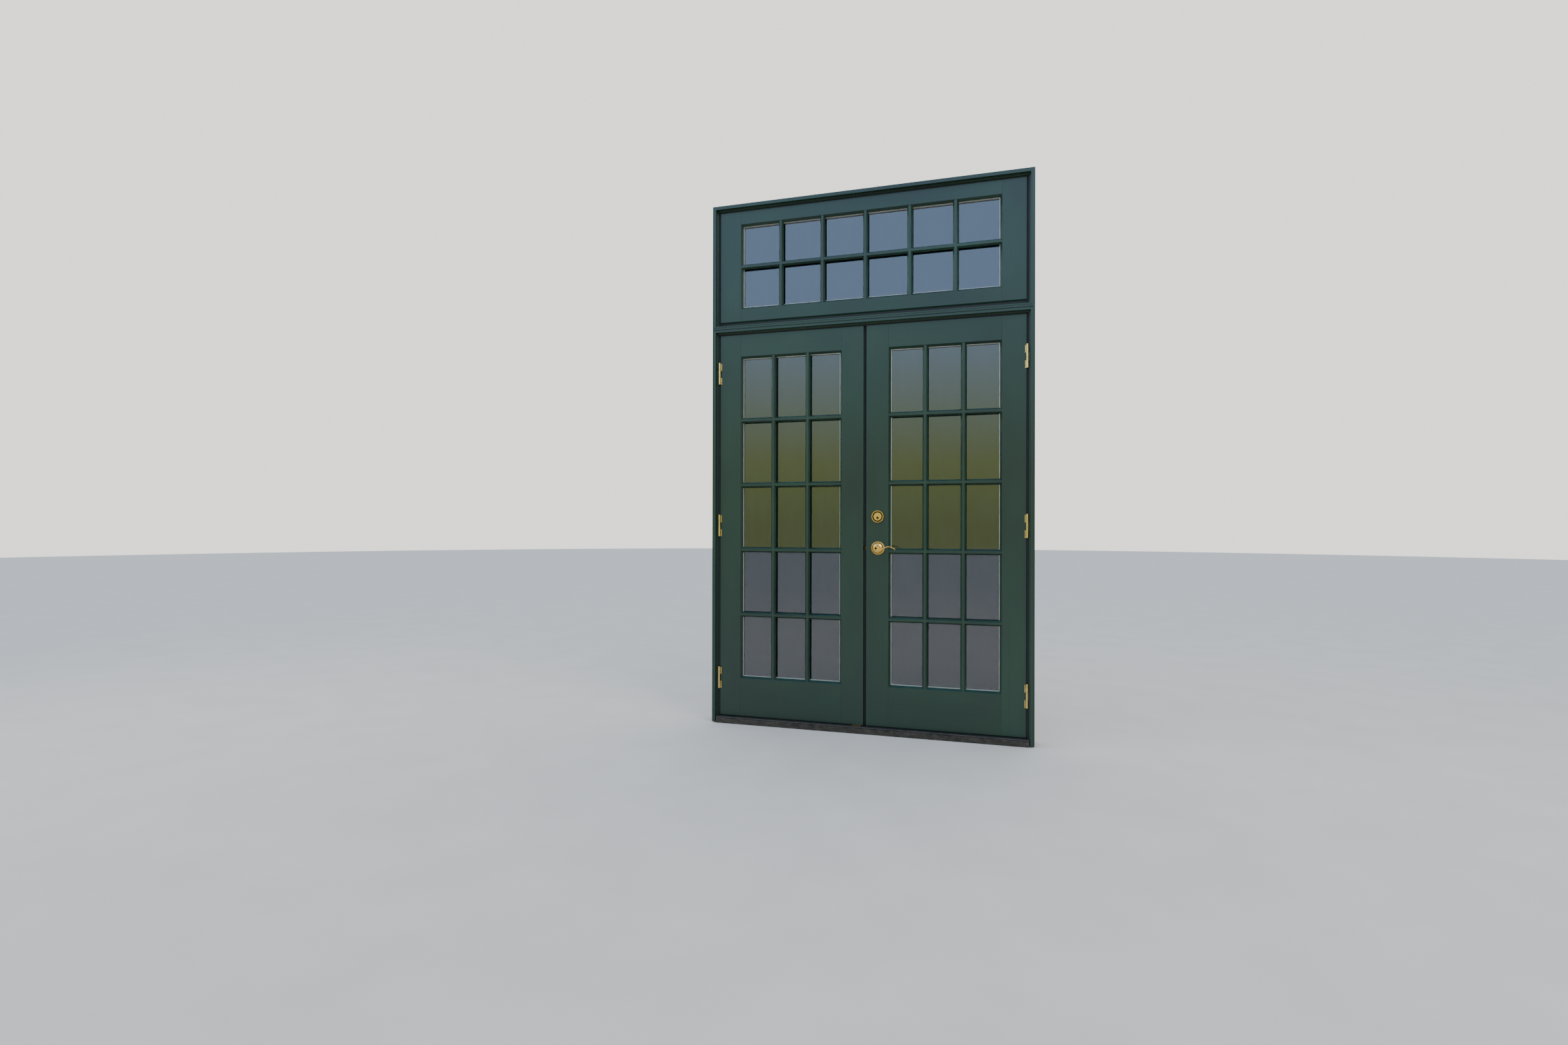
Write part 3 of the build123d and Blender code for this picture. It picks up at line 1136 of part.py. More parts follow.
def lever(face_y, outward, node):
    """Lever on one face of the leaf; outward is the direction away from that face along Y."""
    front = face_y + outward * LEVER_PROJECTION
    back = front - outward * LEVER_DEPTH
    blade_plane = Plane(origin=(LOCK_X, front, LEVER_Z), x_dir=(1, 0, 0), z_dir=(0, -1, 0))
    with BuildPart() as handle:
        with BuildSketch(blade_plane):
            with BuildLine():
                low = Spline(*LOWER_EDGE)
                high = Spline(*UPPER_EDGE)
                Line(low @ 0, high @ 0)
                Line(low @ 1, high @ 1)
            make_face()
            Circle(HUB_RADIUS)
        extrude(amount=outward * LEVER_DEPTH)
        fillet(handle.edges().filter_by(Axis.Y).sort_by(Axis.X)[-2:], BLADE_EASE)
        rod(LOCK_X, back + outward, LEVER_Z, NECK_RADIUS, (0, -outward, 0),
            abs(back - face_y))
        rod(LOCK_X, front, LEVER_Z, HUB_HOLE_RADIUS, (0, -outward, 0), HUB_HOLE_DEPTH, Mode.SUBTRACT)
        socket_end = face_y + outward * SPINDLE_SOCKET
        block(
            (LOCK_X - SPINDLE / 2, LOCK_X + SPINDLE / 2),
            (face_y - outward, socket_end),
            (LEVER_Z - SPINDLE / 2, LEVER_Z + SPINDLE / 2),
            Mode.SUBTRACT,
        )
    handle.part.label = node
    export_step(handle.part, f"parts/{node}.step")


lever(LEAF_FACE, -1, "outer_lever")
lever(LEAF_BACK, 1, "inner_lever")

with BuildPart() as spindle:
    block(
        (LOCK_X - SPINDLE / 2, LOCK_X + SPINDLE / 2),
        (LEAF_FACE - SPINDLE_SOCKET, LEAF_BACK + SPINDLE_SOCKET),
        (LEVER_Z - SPINDLE / 2, LEVER_Z + SPINDLE / 2),
    )
spindle.part.label = "spindle"
export_step(spindle.part, "parts/spindle.step")

# Deadbolt: case and bolt in the stile, collar outside, plate and thumb-turn inside
bolt_low = PLUG_Z - BOLT_HEIGHT / 2
bolt_high = PLUG_Z + BOLT_HEIGHT / 2
bolt_front = LEAF_MIDDLE - BOLT_WIDTH / 2
bolt_back = LEAF_MIDDLE + BOLT_WIDTH / 2
with BuildPart() as deadbolt_case:
    block(
        (HALF_GAP, HALF_GAP + FACEPLATE_THICKNESS),
        (LEAF_MIDDLE - FACEPLATE_WIDTH / 2, LEAF_MIDDLE + FACEPLATE_WIDTH / 2),
        (PLUG_Z - FACEPLATE_HEIGHT / 2, PLUG_Z + FACEPLATE_HEIGHT / 2),
    )
    block(
        (HALF_GAP, HALF_GAP + CASE_LENGTH),
        (bolt_front - CASE_WALL, bolt_back + CASE_WALL),
        (bolt_low - CASE_WALL, bolt_high + CASE_WALL),
    )
    block(
        (HALF_GAP - 1, HALF_GAP + BOLT_REST + BOLT_LENGTH + 1),
        (bolt_front - RUNNING, bolt_back + RUNNING),
        (bolt_low - RUNNING, bolt_high + RUNNING),
        Mode.SUBTRACT,
    )
    rod(LOCK_X, LEAF_FACE, PLUG_Z, TAIL_BORE, (0, 1, 0), LEAF_THICKNESS, Mode.SUBTRACT)
deadbolt_case.part.label = "deadbolt_case"
export_step(deadbolt_case.part, "parts/deadbolt_case.step")

with BuildPart() as deadbolt:
    block(
        (HALF_GAP + BOLT_REST, HALF_GAP + BOLT_REST + BOLT_LENGTH),
        (bolt_front, bolt_back),
        (bolt_low, bolt_high),
    )
    chamfer(deadbolt.edges().filter_by(Axis.X), ARRIS)
deadbolt.part.label = "deadbolt_bolt"
export_step(deadbolt.part, "parts/deadbolt_bolt.step")

with BuildPart() as collars:
    turned(
        LOCK_X,
        COLLAR_Z,
        [
            (0, 0),
            (COLLAR_RADIUS, 0),
            (COLLAR_TOP_RADIUS, COLLAR_PROUD),
            (COLLAR_RIM_RADIUS, COLLAR_PROUD),
            (COLLAR_WELL_RADIUS, COLLAR_WELL),
            (CYLINDER_RADIUS, COLLAR_WELL),
            (CYLINDER_RADIUS, CYLINDER_PROUD),
            (0, CYLINDER_PROUD),
        ],
        LEAF_FACE,
        -1,
    )
    turned(
        LOCK_X,
        PLUG_Z,
        [
            (0, 0),
            (TURN_PLATE_RADIUS, 0),
            (TURN_PLATE_RADIUS - 1.5, TURN_PLATE_PROUD),
            (0, TURN_PLATE_PROUD),
        ],
        LEAF_BACK,
        1,
    )
    rod(LOCK_X, LEAF_FACE - COLLAR_PROUD - 1, PLUG_Z, PLUG_RADIUS + RUNNING, (0, 1, 0), COLLAR_PROUD + 2,
        Mode.SUBTRACT)
    rod(LOCK_X, LEAF_BACK - 1, PLUG_Z, TURN_SHAFT_RADIUS + RUNNING, (0, 1, 0), TURN_PLATE_PROUD + 2,
        Mode.SUBTRACT)
collars.part.label = "deadbolt_collars"
export_step(collars.part, "parts/deadbolt_collars.step")

with BuildPart() as key_plug:
    plug_front = LEAF_FACE - CYLINDER_PROUD + PLUG_RECESS
    plug_back = LEAF_FACE + PLUG_BACK
    rod(LOCK_X, plug_front, PLUG_Z, PLUG_RADIUS, (0, 1, 0), plug_back - plug_front)
    block(
        (LOCK_X - KEYWAY_WIDTH / 2, LOCK_X + KEYWAY_WIDTH / 2),
        (plug_front - 1, plug_front + KEYWAY_DEPTH),
        (PLUG_Z - KEYWAY_HEIGHT / 2, PLUG_Z + KEYWAY_HEIGHT / 2),
        Mode.SUBTRACT,
    )
key_plug.part.label = "key_plug"
export_step(key_plug.part, "parts/key_plug.step")

with BuildPart() as thumb_turn:
    block(
        (LOCK_X - TAIL_WIDTH / 2, LOCK_X + TAIL_WIDTH / 2),
        (LEAF_FACE + PLUG_BACK, LEAF_BACK),
        (PLUG_Z - TAIL_THICKNESS / 2, PLUG_Z + TAIL_THICKNESS / 2),
    )
    rod(LOCK_X, LEAF_BACK, PLUG_Z, TURN_SHAFT_RADIUS, (0, 1, 0), TURN_STANDOFF)
    turn_y = LEAF_BACK + TURN_STANDOFF
    block(
        (LOCK_X - TURN_THICKNESS / 2, LOCK_X + TURN_THICKNESS / 2),
        (turn_y, turn_y + TURN_HEIGHT),
        (PLUG_Z - TURN_LENGTH / 2, PLUG_Z + TURN_LENGTH / 2),
    )
    fillet(thumb_turn.edges().filter_by(Axis.X).group_by(Axis.Y)[-1], TURN_HEIGHT / 3)
thumb_turn.part.label = "thumb_turn"
export_step(thumb_turn.part, "parts/thumb_turn.step")
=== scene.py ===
"""Looks of a pair of glazed garden doors under a transom light, in their painted timber frame."""
import logging
import math
from dataclasses import dataclass, field
from enum import Enum
from typing import Any, ClassVar

import bmesh
import bpy
from mathutils import Matrix, Vector


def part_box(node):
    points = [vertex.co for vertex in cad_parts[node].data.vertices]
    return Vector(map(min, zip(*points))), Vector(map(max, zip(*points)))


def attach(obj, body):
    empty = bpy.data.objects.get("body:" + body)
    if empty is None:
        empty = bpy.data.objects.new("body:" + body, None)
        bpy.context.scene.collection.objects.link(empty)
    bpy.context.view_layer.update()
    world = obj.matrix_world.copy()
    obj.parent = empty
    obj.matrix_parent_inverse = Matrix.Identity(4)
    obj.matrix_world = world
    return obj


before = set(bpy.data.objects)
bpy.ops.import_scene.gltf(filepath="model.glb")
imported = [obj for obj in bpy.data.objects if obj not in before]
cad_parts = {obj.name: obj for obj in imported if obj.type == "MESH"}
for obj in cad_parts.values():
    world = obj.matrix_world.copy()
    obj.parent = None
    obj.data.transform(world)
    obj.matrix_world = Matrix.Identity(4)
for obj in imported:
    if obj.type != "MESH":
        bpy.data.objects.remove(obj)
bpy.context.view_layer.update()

log = logging.getLogger("doors")

Tree = bpy.types.NodeTree
Socket = bpy.types.NodeSocket
Triple = tuple[float, float, float]
Span = tuple[float, float]

MM = 0.001

# The Mix node has one set of sockets for each kind of data, so they are told apart by number.
MIX_SHARE = 0
MIX_VALUE_A, MIX_VALUE_B, MIX_VALUE_OUT = 2, 3, 0
MIX_COLOUR_A, MIX_COLOUR_B, MIX_COLOUR_OUT = 6, 7, 2


class Grain(Enum):
    """Way in which a board's fibres, and so its brush strokes, run."""

    UPRIGHT = "upright"
    LEVEL = "level"


def linear(code: str) -> tuple[float, float, float, float]:
    """Turns an sRGB hex colour into Blender's linear light, by the curve of the sRGB standard.

    Args:
        code: colour as "#RRGGBB".

    Returns:
        Red, green, blue, and an alpha of 1.
    """
    parts = [int(code[i : i + 2], 16) / 255 for i in (1, 3, 5)]
    red, green, blue = [p / 12.92 if p <= 0.04045 else ((p + 0.055) / 1.055) ** 2.4 for p in parts]
    return (red, green, blue, 1.0)


def node(tree: Tree, kind: str, sockets: dict[str | int, Any] | None = None,
         **settings: Any) -> bpy.types.Node:
    """Adds one shader node with its settings and links.

    Args:
        tree: tree that gets the node.
        kind: Blender's name for the kind of node.
        sockets: input name or number, to a value or to an output that feeds it.
        **settings: the node's own properties.

    Returns:
        The new node.
    """
    made = tree.nodes.new(kind)
    for name, value in settings.items():
        setattr(made, name, value)
    for key, value in (sockets or {}).items():
        if isinstance(value, Socket):
            tree.links.new(value, made.inputs[key])
        else:
            made.inputs[key].default_value = value
    return made


@dataclass(frozen=True)
class Surface:
    """A material while it is made: its nodes, its shader, and the object's own coordinates in metres."""

    tree: Tree
    shader: bpy.types.Node
    place: Socket

    def feed(self, name: str, output: Socket) -> None:
        """Links an output to one of the shader's sockets."""
        self.tree.links.new(output, self.shader.inputs[name])

    def hold(self, name: str, value: float) -> None:
        """Sets one of the shader's sockets to a value that is the same all over the surface."""
        self.shader.inputs[name].default_value = value


@dataclass(frozen=True)
class Pattern:
    """Noise with spots of a stated real size along X, Y and Z."""

    size_mm: Triple
    detail: float = 2.0
    rough: float = 0.5

    def make(self, surface: Surface, grain: Grain = Grain.UPRIGHT) -> Socket:
        """Adds the noise to a material.

        Args:
            surface: material that gets it.
            grain: way of the board. On a level board, X and Z change places.

        Returns:
            The noise's value, about 0 to 1.
        """
        sizes = self.size_mm if grain is Grain.UPRIGHT else self.size_mm[::-1]
        scaled = node(surface.tree, "ShaderNodeMapping", {
            "Vector": surface.place,
            "Scale": tuple(1 / (size * MM) for size in sizes),
        }).outputs[0]
        return node(surface.tree, "ShaderNodeTexNoise", {
            "Vector": scaled,
            "Scale": 1.0,
            "Detail": self.detail,
            "Roughness": self.rough,
        }).outputs["Fac"]


@dataclass(frozen=True)
class Wash:
    """A colour laid over the one under it, where a pattern is strong.

    Its share goes from least, where the pattern is at low, to most, where the pattern is at high.
    """

    colour: str
    low: float
    high: float
    most: float = 1.0
    least: float = 0.0

    def lay(self, surface: Surface, under: Any, pattern: Socket, where: Socket | None = None) -> Socket:
        """Lays the colour.

        Args:
            surface: material that gets it.
            under: colour, or socket of a colour, that it covers.
            pattern: pattern that it follows.
            where: second share that narrows it, such as that of the arrises.

        Returns:
            The colour with the wash on it.
        """
        share = node(surface.tree, "ShaderNodeMapRange", {
            "Value": pattern,
            "From Min": self.low,
            "From Max": self.high,
            "To Min": self.least,
            "To Max": self.most,
        }).outputs[0]
        if where is not None:
            share = node(surface.tree, "ShaderNodeMath", {0: where, 1: share},
                         operation="MULTIPLY").outputs[0]
        return node(surface.tree, "ShaderNodeMix", {
            MIX_SHARE: share,
            MIX_COLOUR_A: under,
            MIX_COLOUR_B: linear(self.colour),
        }, data_type="RGBA").outputs[MIX_COLOUR_OUT]


@dataclass(frozen=True)
class Polish:
    """Roughness that follows a pattern, from its smooth spots to its rough ones."""

    smooth: float
    rough: float
    low: float = 0.3
    high: float = 0.7

    def give(self, surface: Surface, pattern: Socket) -> None:
        """Sets the roughness.

        Args:
            surface: material that gets it.
            pattern: pattern that it follows.
        """
        surface.feed("Roughness", node(surface.tree, "ShaderNodeMapRange", {
            "Value": pattern,
            "From Min": self.low,
            "From Max": self.high,
            "To Min": self.smooth,
            "To Max": self.rough,
        }).outputs[0])


@dataclass(frozen=True)
class Relief:
    """Fine height that follows a pattern: its real depth, and how much of it shows."""

    depth_mm: float
    strength: float

    def press(self, surface: Surface, pattern: Socket) -> None:
        """Turns the surface's normal by the height.

        Args:
            surface: material that gets it.
            pattern: pattern that it follows.
        """
        surface.feed("Normal", node(surface.tree, "ShaderNodeBump", {
            "Height": pattern,
            "Strength": self.strength,
            "Distance": self.depth_mm * MM,
        }).outputs[0])


@dataclass(frozen=True)
class Arrises:
    """Band along the sharp edges, where a surface is rubbed.

    A rounded normal and the flat one are nearly alike on a face, and part on an arris.
    """

    width_mm: float
    alike_on_face: float = 0.985
    alike_on_arris: float = 0.8
    samples: int = 4

    def share(self, surface: Surface) -> Socket:
        """Finds the band.

        Args:
            surface: material that gets it.

        Returns:
            1 on an arris, 0 on a face.
        """
        rounded = node(surface.tree, "ShaderNodeBevel", {"Radius": self.width_mm * MM},
                       samples=self.samples).outputs[0]
        flat = node(surface.tree, "ShaderNodeNewGeometry").outputs["Normal"]
        alike = node(surface.tree, "ShaderNodeVectorMath", {0: rounded, 1: flat},
                     operation="DOT_PRODUCT").outputs["Value"]
        return node(surface.tree, "ShaderNodeMapRange", {
            "Value": alike,
            "From Min": self.alike_on_face,
            "From Max": self.alike_on_arris,
        }).outputs[0]


@dataclass(frozen=True)
class Finish:
    """A surface finish: what a thing is made of and how that surface was made."""

    name: str

    def material(self) -> bpy.types.Material:
        """Makes the material once, and gives the same one after that.

        Returns:
            The material.
        """
        known = bpy.data.materials.get(self.name)
        if known is not None:
            return known
        made = bpy.data.materials.new(self.name)
        made.use_nodes = True
        tree = made.node_tree
        place = node(tree, "ShaderNodeTexCoord").outputs["Object"]
        self.shade(Surface(tree, tree.nodes["Principled BSDF"], place))
        return made

    def shade(self, surface: Surface) -> None:
        """Fills in the shader. Each finish has its own way.

        Args:
            surface: material that is being made.
        """
        raise NotImplementedError


@dataclass(frozen=True)
class PaintedTimber(Finish):
    """Exterior acrylic paint, brushed on along the grain of planed fir.

    It gives the eye a deep green with a soft sheen, fine brush lines, a slow fade from board
    to board, and a pale primer where the arrises are rubbed.
    """

    grain: Grain
    body: str = "#11281B"
    faded: str = "#1A3725"
    shadow: str = "#0B1C16"
    primer: str = "#8C9A8C"
    sheen: float = 0.30
    gloss: float = 0.28
    gloss_spread: float = 0.14
    sheen_rough: float = 0.20
    ior: float = 1.46
    # Bristle lines are about 0.4 mm apart: drawn 3 mm wide here, since finer ones don't show.
    strokes: Pattern = Pattern((3, 3, 260), 3.0, 0.6)
    fibre: Pattern = Pattern((9, 9, 700), 4.0, 0.65)
    fade: Pattern = Pattern((420, 420, 900), 3.0, 0.55)
    skin: Pattern = Pattern((14, 14, 14), 4.0, 0.6)
    scuffs: Pattern = Pattern((11, 11, 11), 3.0, 0.65)
    arrises: Arrises = Arrises(1.1)
    relief: Relief = Relief(0.16, 0.55)

    def shade(self, surface: Surface) -> None:
        """Fills in the shader.

        Args:
            surface: material that is being made.
        """
        strokes = self.strokes.make(surface, self.grain)
        fibre = self.fibre.make(surface, self.grain)
        fade = self.fade.make(surface, self.grain)
        tone = Wash(self.faded, low=0.35, high=0.68).lay(surface, linear(self.body), fade)
        tone = Wash(self.shadow, low=0.52, high=0.78, most=0.28).lay(surface, tone, fibre)
        rubbed = Wash(self.primer, low=0.56, high=0.66, most=0.55)
        tone = rubbed.lay(surface, tone, self.scuffs.make(surface), self.arrises.share(surface))
        surface.feed("Base Color", tone)
        Polish(self.gloss, self.gloss + self.gloss_spread, high=0.75).give(surface, self.skin.make(surface))
        surface.hold("IOR", self.ior)
        surface.hold("Coat Weight", self.sheen)
        surface.hold("Coat Roughness", self.sheen_rough)
        lines = node(surface.tree, "ShaderNodeMath", {0: strokes, 1: fibre}, operation="ADD").outputs[0]
        self.relief.press(surface, lines)


@dataclass(frozen=True)
class BronzeAnodised(Finish):
    """Extruded aluminium, anodised dark bronze.

    It gives the eye a dark brown metal with faint drawn lines and a rubbed nose.
    """

    body: str = "#3C3733"
    spotted: Wash = Wash("#544D46", low=0.35, high=0.7)
    rubbed: Wash = Wash("#A79F9A", low=0.40, high=0.62, most=0.85, least=0.15)
    # Die lines run the whole length of the extrusion, about 1 mm apart.
    drawn: Pattern = Pattern((1200, 1.2, 1.2), 3.0, 0.6)
    spots: Pattern = Pattern((38, 22, 22), 4.0, 0.7)
    arrises: Arrises = Arrises(1.6)
    metallic: float = 0.75
    polish: Polish = Polish(0.34, 0.50)
    relief: Relief = Relief(0.05, 0.5)

    def shade(self, surface: Surface) -> None:
        """Fills in the shader.

        Args:
            surface: material that is being made.
        """
        drawn = self.drawn.make(surface)
        spots = self.spots.make(surface)
        tone = self.spotted.lay(surface, linear(self.body), spots)
        surface.feed("Base Color", self.rubbed.lay(surface, tone, spots, self.arrises.share(surface)))
        surface.hold("Metallic", self.metallic)
        self.polish.give(surface, drawn)
        self.relief.press(surface, drawn)


@dataclass(frozen=True)
class ExtrudedRubber(Finish):
    """EPDM weatherstrip, extruded. It gives the eye a near-black, matt strip, greyed by dust."""

    body: str = "#121314"
    dusted: Wash = Wash("#2B2C2B", low=0.45, high=0.75, most=0.5)
    dust: Pattern = Pattern((26, 26, 60), 4.0, 0.65)
    pores: Pattern = Pattern((2.2, 2.2, 2.2))
    ior: float = 1.5
    polish: Polish = Polish(0.62, 0.82)
    relief: Relief = Relief(0.08, 0.5)

    def shade(self, surface: Surface) -> None:
        """Fills in the shader.

        Args:
            surface: material that is being made.
        """
        dust = self.dust.make(surface)
        surface.feed("Base Color", self.dusted.lay(surface, linear(self.body), dust))
        surface.hold("IOR", self.ior)
        self.polish.give(surface, dust)
        self.relief.press(surface, self.pores.make(surface))


@dataclass(frozen=True)
class PolishedBrass(Finish):
    """Turned or cast brass, polished and left outdoors.

    It gives the eye a warm yellow metal, browned in patches, and dark in its grooves by tarnish and painted
    shade.
    """

    bright: str = "#F6C46A"
    browned: str = "#956029"
    specked: Wash = Wash("#5A4222", low=0.64, high=0.76, most=0.6)
    # Grooves and holes a few millimetres deep turn dark brown by an occlusion mask: partly tarnish that no
    # cloth reaches, partly painted shade.
    tarnish_and_painted_shade: Wash = Wash("#2A1D0D", low=0.86, high=0.50, most=0.95)
    groove_mm: float = 9.0
    groove_samples: int = 6
    patches: Pattern = Pattern((17, 17, 17), 5.0, 0.68)
    specks: Pattern = Pattern((1.8, 1.8, 1.8))
    polish: Polish = Polish(0.16, 0.40, high=0.75)
    relief: Relief = Relief(0.03, 0.5)

    def shade(self, surface: Surface) -> None:
        """Fills in the shader.

        Args:
            surface: material that is being made.
        """
        patches = self.patches.make(surface)
        specks = self.specks.make(surface)
        openness = node(surface.tree, "ShaderNodeAmbientOcclusion", {"Distance": self.groove_mm * MM},
                        samples=self.groove_samples).outputs["AO"]
        tone = Wash(self.browned, low=0.48, high=0.74, most=0.75).lay(surface, linear(self.bright), patches)
        tone = self.specked.lay(surface, tone, specks)
        # Painted shade, with some tarnish: the occlusion mask darkens grooves and holes.
        surface.feed("Base Color", self.tarnish_and_painted_shade.lay(surface, tone, openness))
        surface.hold("Metallic", 1.0)
        self.polish.give(surface, patches)
        self.relief.press(surface, specks)


@dataclass(frozen=True)
class ZincSteel(Finish):
    """Pressed steel, zinc plated. It gives the eye a bluish grey metal with a fine grained bloom."""

    body: str = "#A9ACAD"
    bloomed: Wash = Wash("#87898B", low=0.35, high=0.7)
    bloom: Pattern = Pattern((9, 9, 9), 4.0, 0.7)
    polish: Polish = Polish(0.28, 0.46)
    relief: Relief = Relief(0.02, 0.4)

    def shade(self, surface: Surface) -> None:
        """Fills in the shader.

        Args:
            surface: material that is being made.
        """
        bloom = self.bloom.make(surface)
        surface.feed("Base Color", self.bloomed.lay(surface, linear(self.body), bloom))
        surface.hold("Metallic", 1.0)
        self.polish.give(surface, bloom)
        self.relief.press(surface, bloom)


@dataclass(frozen=True)
class FloatGlass(Finish):
    """Coated float glass of a sealed unit, coloured near black: painted shade of the unlit room behind it.

    It gives the eye a deep pane with a clear reflection, and faint streaks of dried rain. The outer pane is
    clear, so the spacer shows at the rim, and the inner one is opaque and holds the painted shade and the
    gloss.
    """

    body: str = "#0E1214"
    streaked: Wash = Wash("#1B2022", low=0.42, high=0.75)
    # Dried rain leaves streaks about 20 mm wide and a hand long.
    streaks: Pattern = Pattern((22, 22, 150), 4.0, 0.6)
    polish: Polish = Polish(0.015, 0.06, low=0.45, high=0.8)
    # Four faces and a heat-mirror coating reflect about three times as much as one bare face.
    ior: float = 2.1
    outer: float = 0.0
    inner: float = 1.0
    # Depths between the two panes, where clear turns to dark.
    between_mm: Span = (-7.5, -6.3)

    def shade(self, surface: Surface) -> None:
        """Fills in the shader.

        Args:
            surface: material that is being made.
        """
        streaks = self.streaks.make(surface)
        # The near-black base is painted shade of the unlit room; the streaks are dried rain.
        surface.feed("Base Color", self.streaked.lay(surface, linear(self.body), streaks))
        self.polish.give(surface, streaks)
        surface.hold("IOR", self.ior)
        surface.feed("Alpha", node(surface.tree, "ShaderNodeMapRange", {
            "Value": node(surface.tree, "ShaderNodeSeparateXYZ", {0: surface.place}).outputs["Y"],
            "From Min": self.between_mm[0] * MM,
            "From Max": self.between_mm[1] * MM,
            "To Min": self.outer,
            "To Max": self.inner,
        }).outputs[0])


@dataclass(frozen=True)
class MillAluminium(Finish):
    """Roll-formed aluminium, as it leaves the mill.

    It gives the eye a silver, slightly warm strip with faint lines along it.
    """

    body: str = "#D9D3C6"
    dulled: Wash = Wash("#B9B4A8", low=0.35, high=0.7)
    rolled: Pattern = Pattern((40, 2, 40), 3.0, 0.6)
    metallic: float = 0.85
    polish: Polish = Polish(0.35, 0.5)
    relief: Relief = Relief(0.03, 0.4)

    def shade(self, surface: Surface) -> None:
        """Fills in the shader.

        Args:
            surface: material that is being made.
        """
        rolled = self.rolled.make(surface)
        surface.feed("Base Color", self.dulled.lay(surface, linear(self.body), rolled))
        surface.hold("Metallic", self.metallic)
        self.polish.give(surface, rolled)
        self.relief.press(surface, rolled)


@dataclass(frozen=True)
class StudioPaper(Finish):
    """Seamless pale studio paper. It gives the eye a matt sheet with the faint mottle of its pulp."""

    body: str = "#D4C5B0"
    mottled: Wash = Wash("#DACBB6", low=0.3, high=0.7)
    pulp: Pattern = Pattern((300, 300, 300), 3.0)
    polish: Polish = Polish(0.82, 0.9)

    def shade(self, surface: Surface) -> None:
        """Fills in the shader.

        Args:
            surface: material that is being made.
        """
        pulp = self.pulp.make(surface)
        surface.feed("Base Color", self.mottled.lay(surface, linear(self.body), pulp))
        self.polish.give(surface, pulp)


PAINT_UPRIGHT = PaintedTimber("brushed_paint_on_fir_upright", Grain.UPRIGHT)
PAINT_LEVEL = PaintedTimber("brushed_paint_on_fir_level", Grain.LEVEL)
# The strip behind the meeting gap is coloured near black with no sheen as painted shade, so the gap reads as
# a dark line.
BLACK_PAINTED_SHADE = PaintedTimber("painted_shade_black_fir_upright", Grain.UPRIGHT, body="#07090A", faded="#0B0E10",
                            shadow="#040506", primer="#2C3434", sheen=0.0, gloss=0.55)
BRONZE = BronzeAnodised("bronze_anodised_aluminium")
RUBBER = ExtrudedRubber("extruded_epdm_rubber")
BRASS = PolishedBrass("polished_brass")
BRASS_HINGE = PolishedBrass("weathered_brass", bright="#F8D586", browned="#9A7A3C")
BRASS_SCREW = PolishedBrass("drawn_brass_screw", bright="#DDBD7C", browned="#7F6233")
# Key plug, latch bolt and strikes sit in a recess and in the meeting gap: their dark brass is painted shade.
BRASS_PAINTED_SHADE = PolishedBrass("brass_darkened_as_painted_shade", bright="#6E5230", browned="#3B2916")
ZINC = ZincSteel("zinc_plated_steel")
GLASS = FloatGlass("coated_float_glass")
SPACER = MillAluminium("mill_aluminium")
PAPER = StudioPaper("studio_paper")


def dress(name: str, finish: Finish) -> None:
    """Gives a CAD node its finish.

    Args:
        name: the node.
        finish: what it is made of.
    """
    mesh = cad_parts[name].data
    mesh.materials.clear()
    mesh.materials.append(finish.material())


def piece(name: str, mesh: bmesh.types.BMesh, finish: Finish, body: str) -> bpy.types.Object:
    """Turns a built mesh into a piece that rides with a body.

    Args:
        name: the piece's name.
        mesh: its geometry in the row frame, in metres. It is freed.
        finish: what it is made of.
        body: body that it moves with.

    Returns:
        The piece.
    """
    bmesh.ops.recalc_face_normals(mesh, faces=mesh.faces)
    data = bpy.data.meshes.new(name)
    mesh.to_mesh(data)
    mesh.free()
    data.materials.append(finish.material())
    made = bpy.data.objects.new(name, data)
    bpy.context.scene.collection.objects.link(made)
    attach(made, body)
    return made


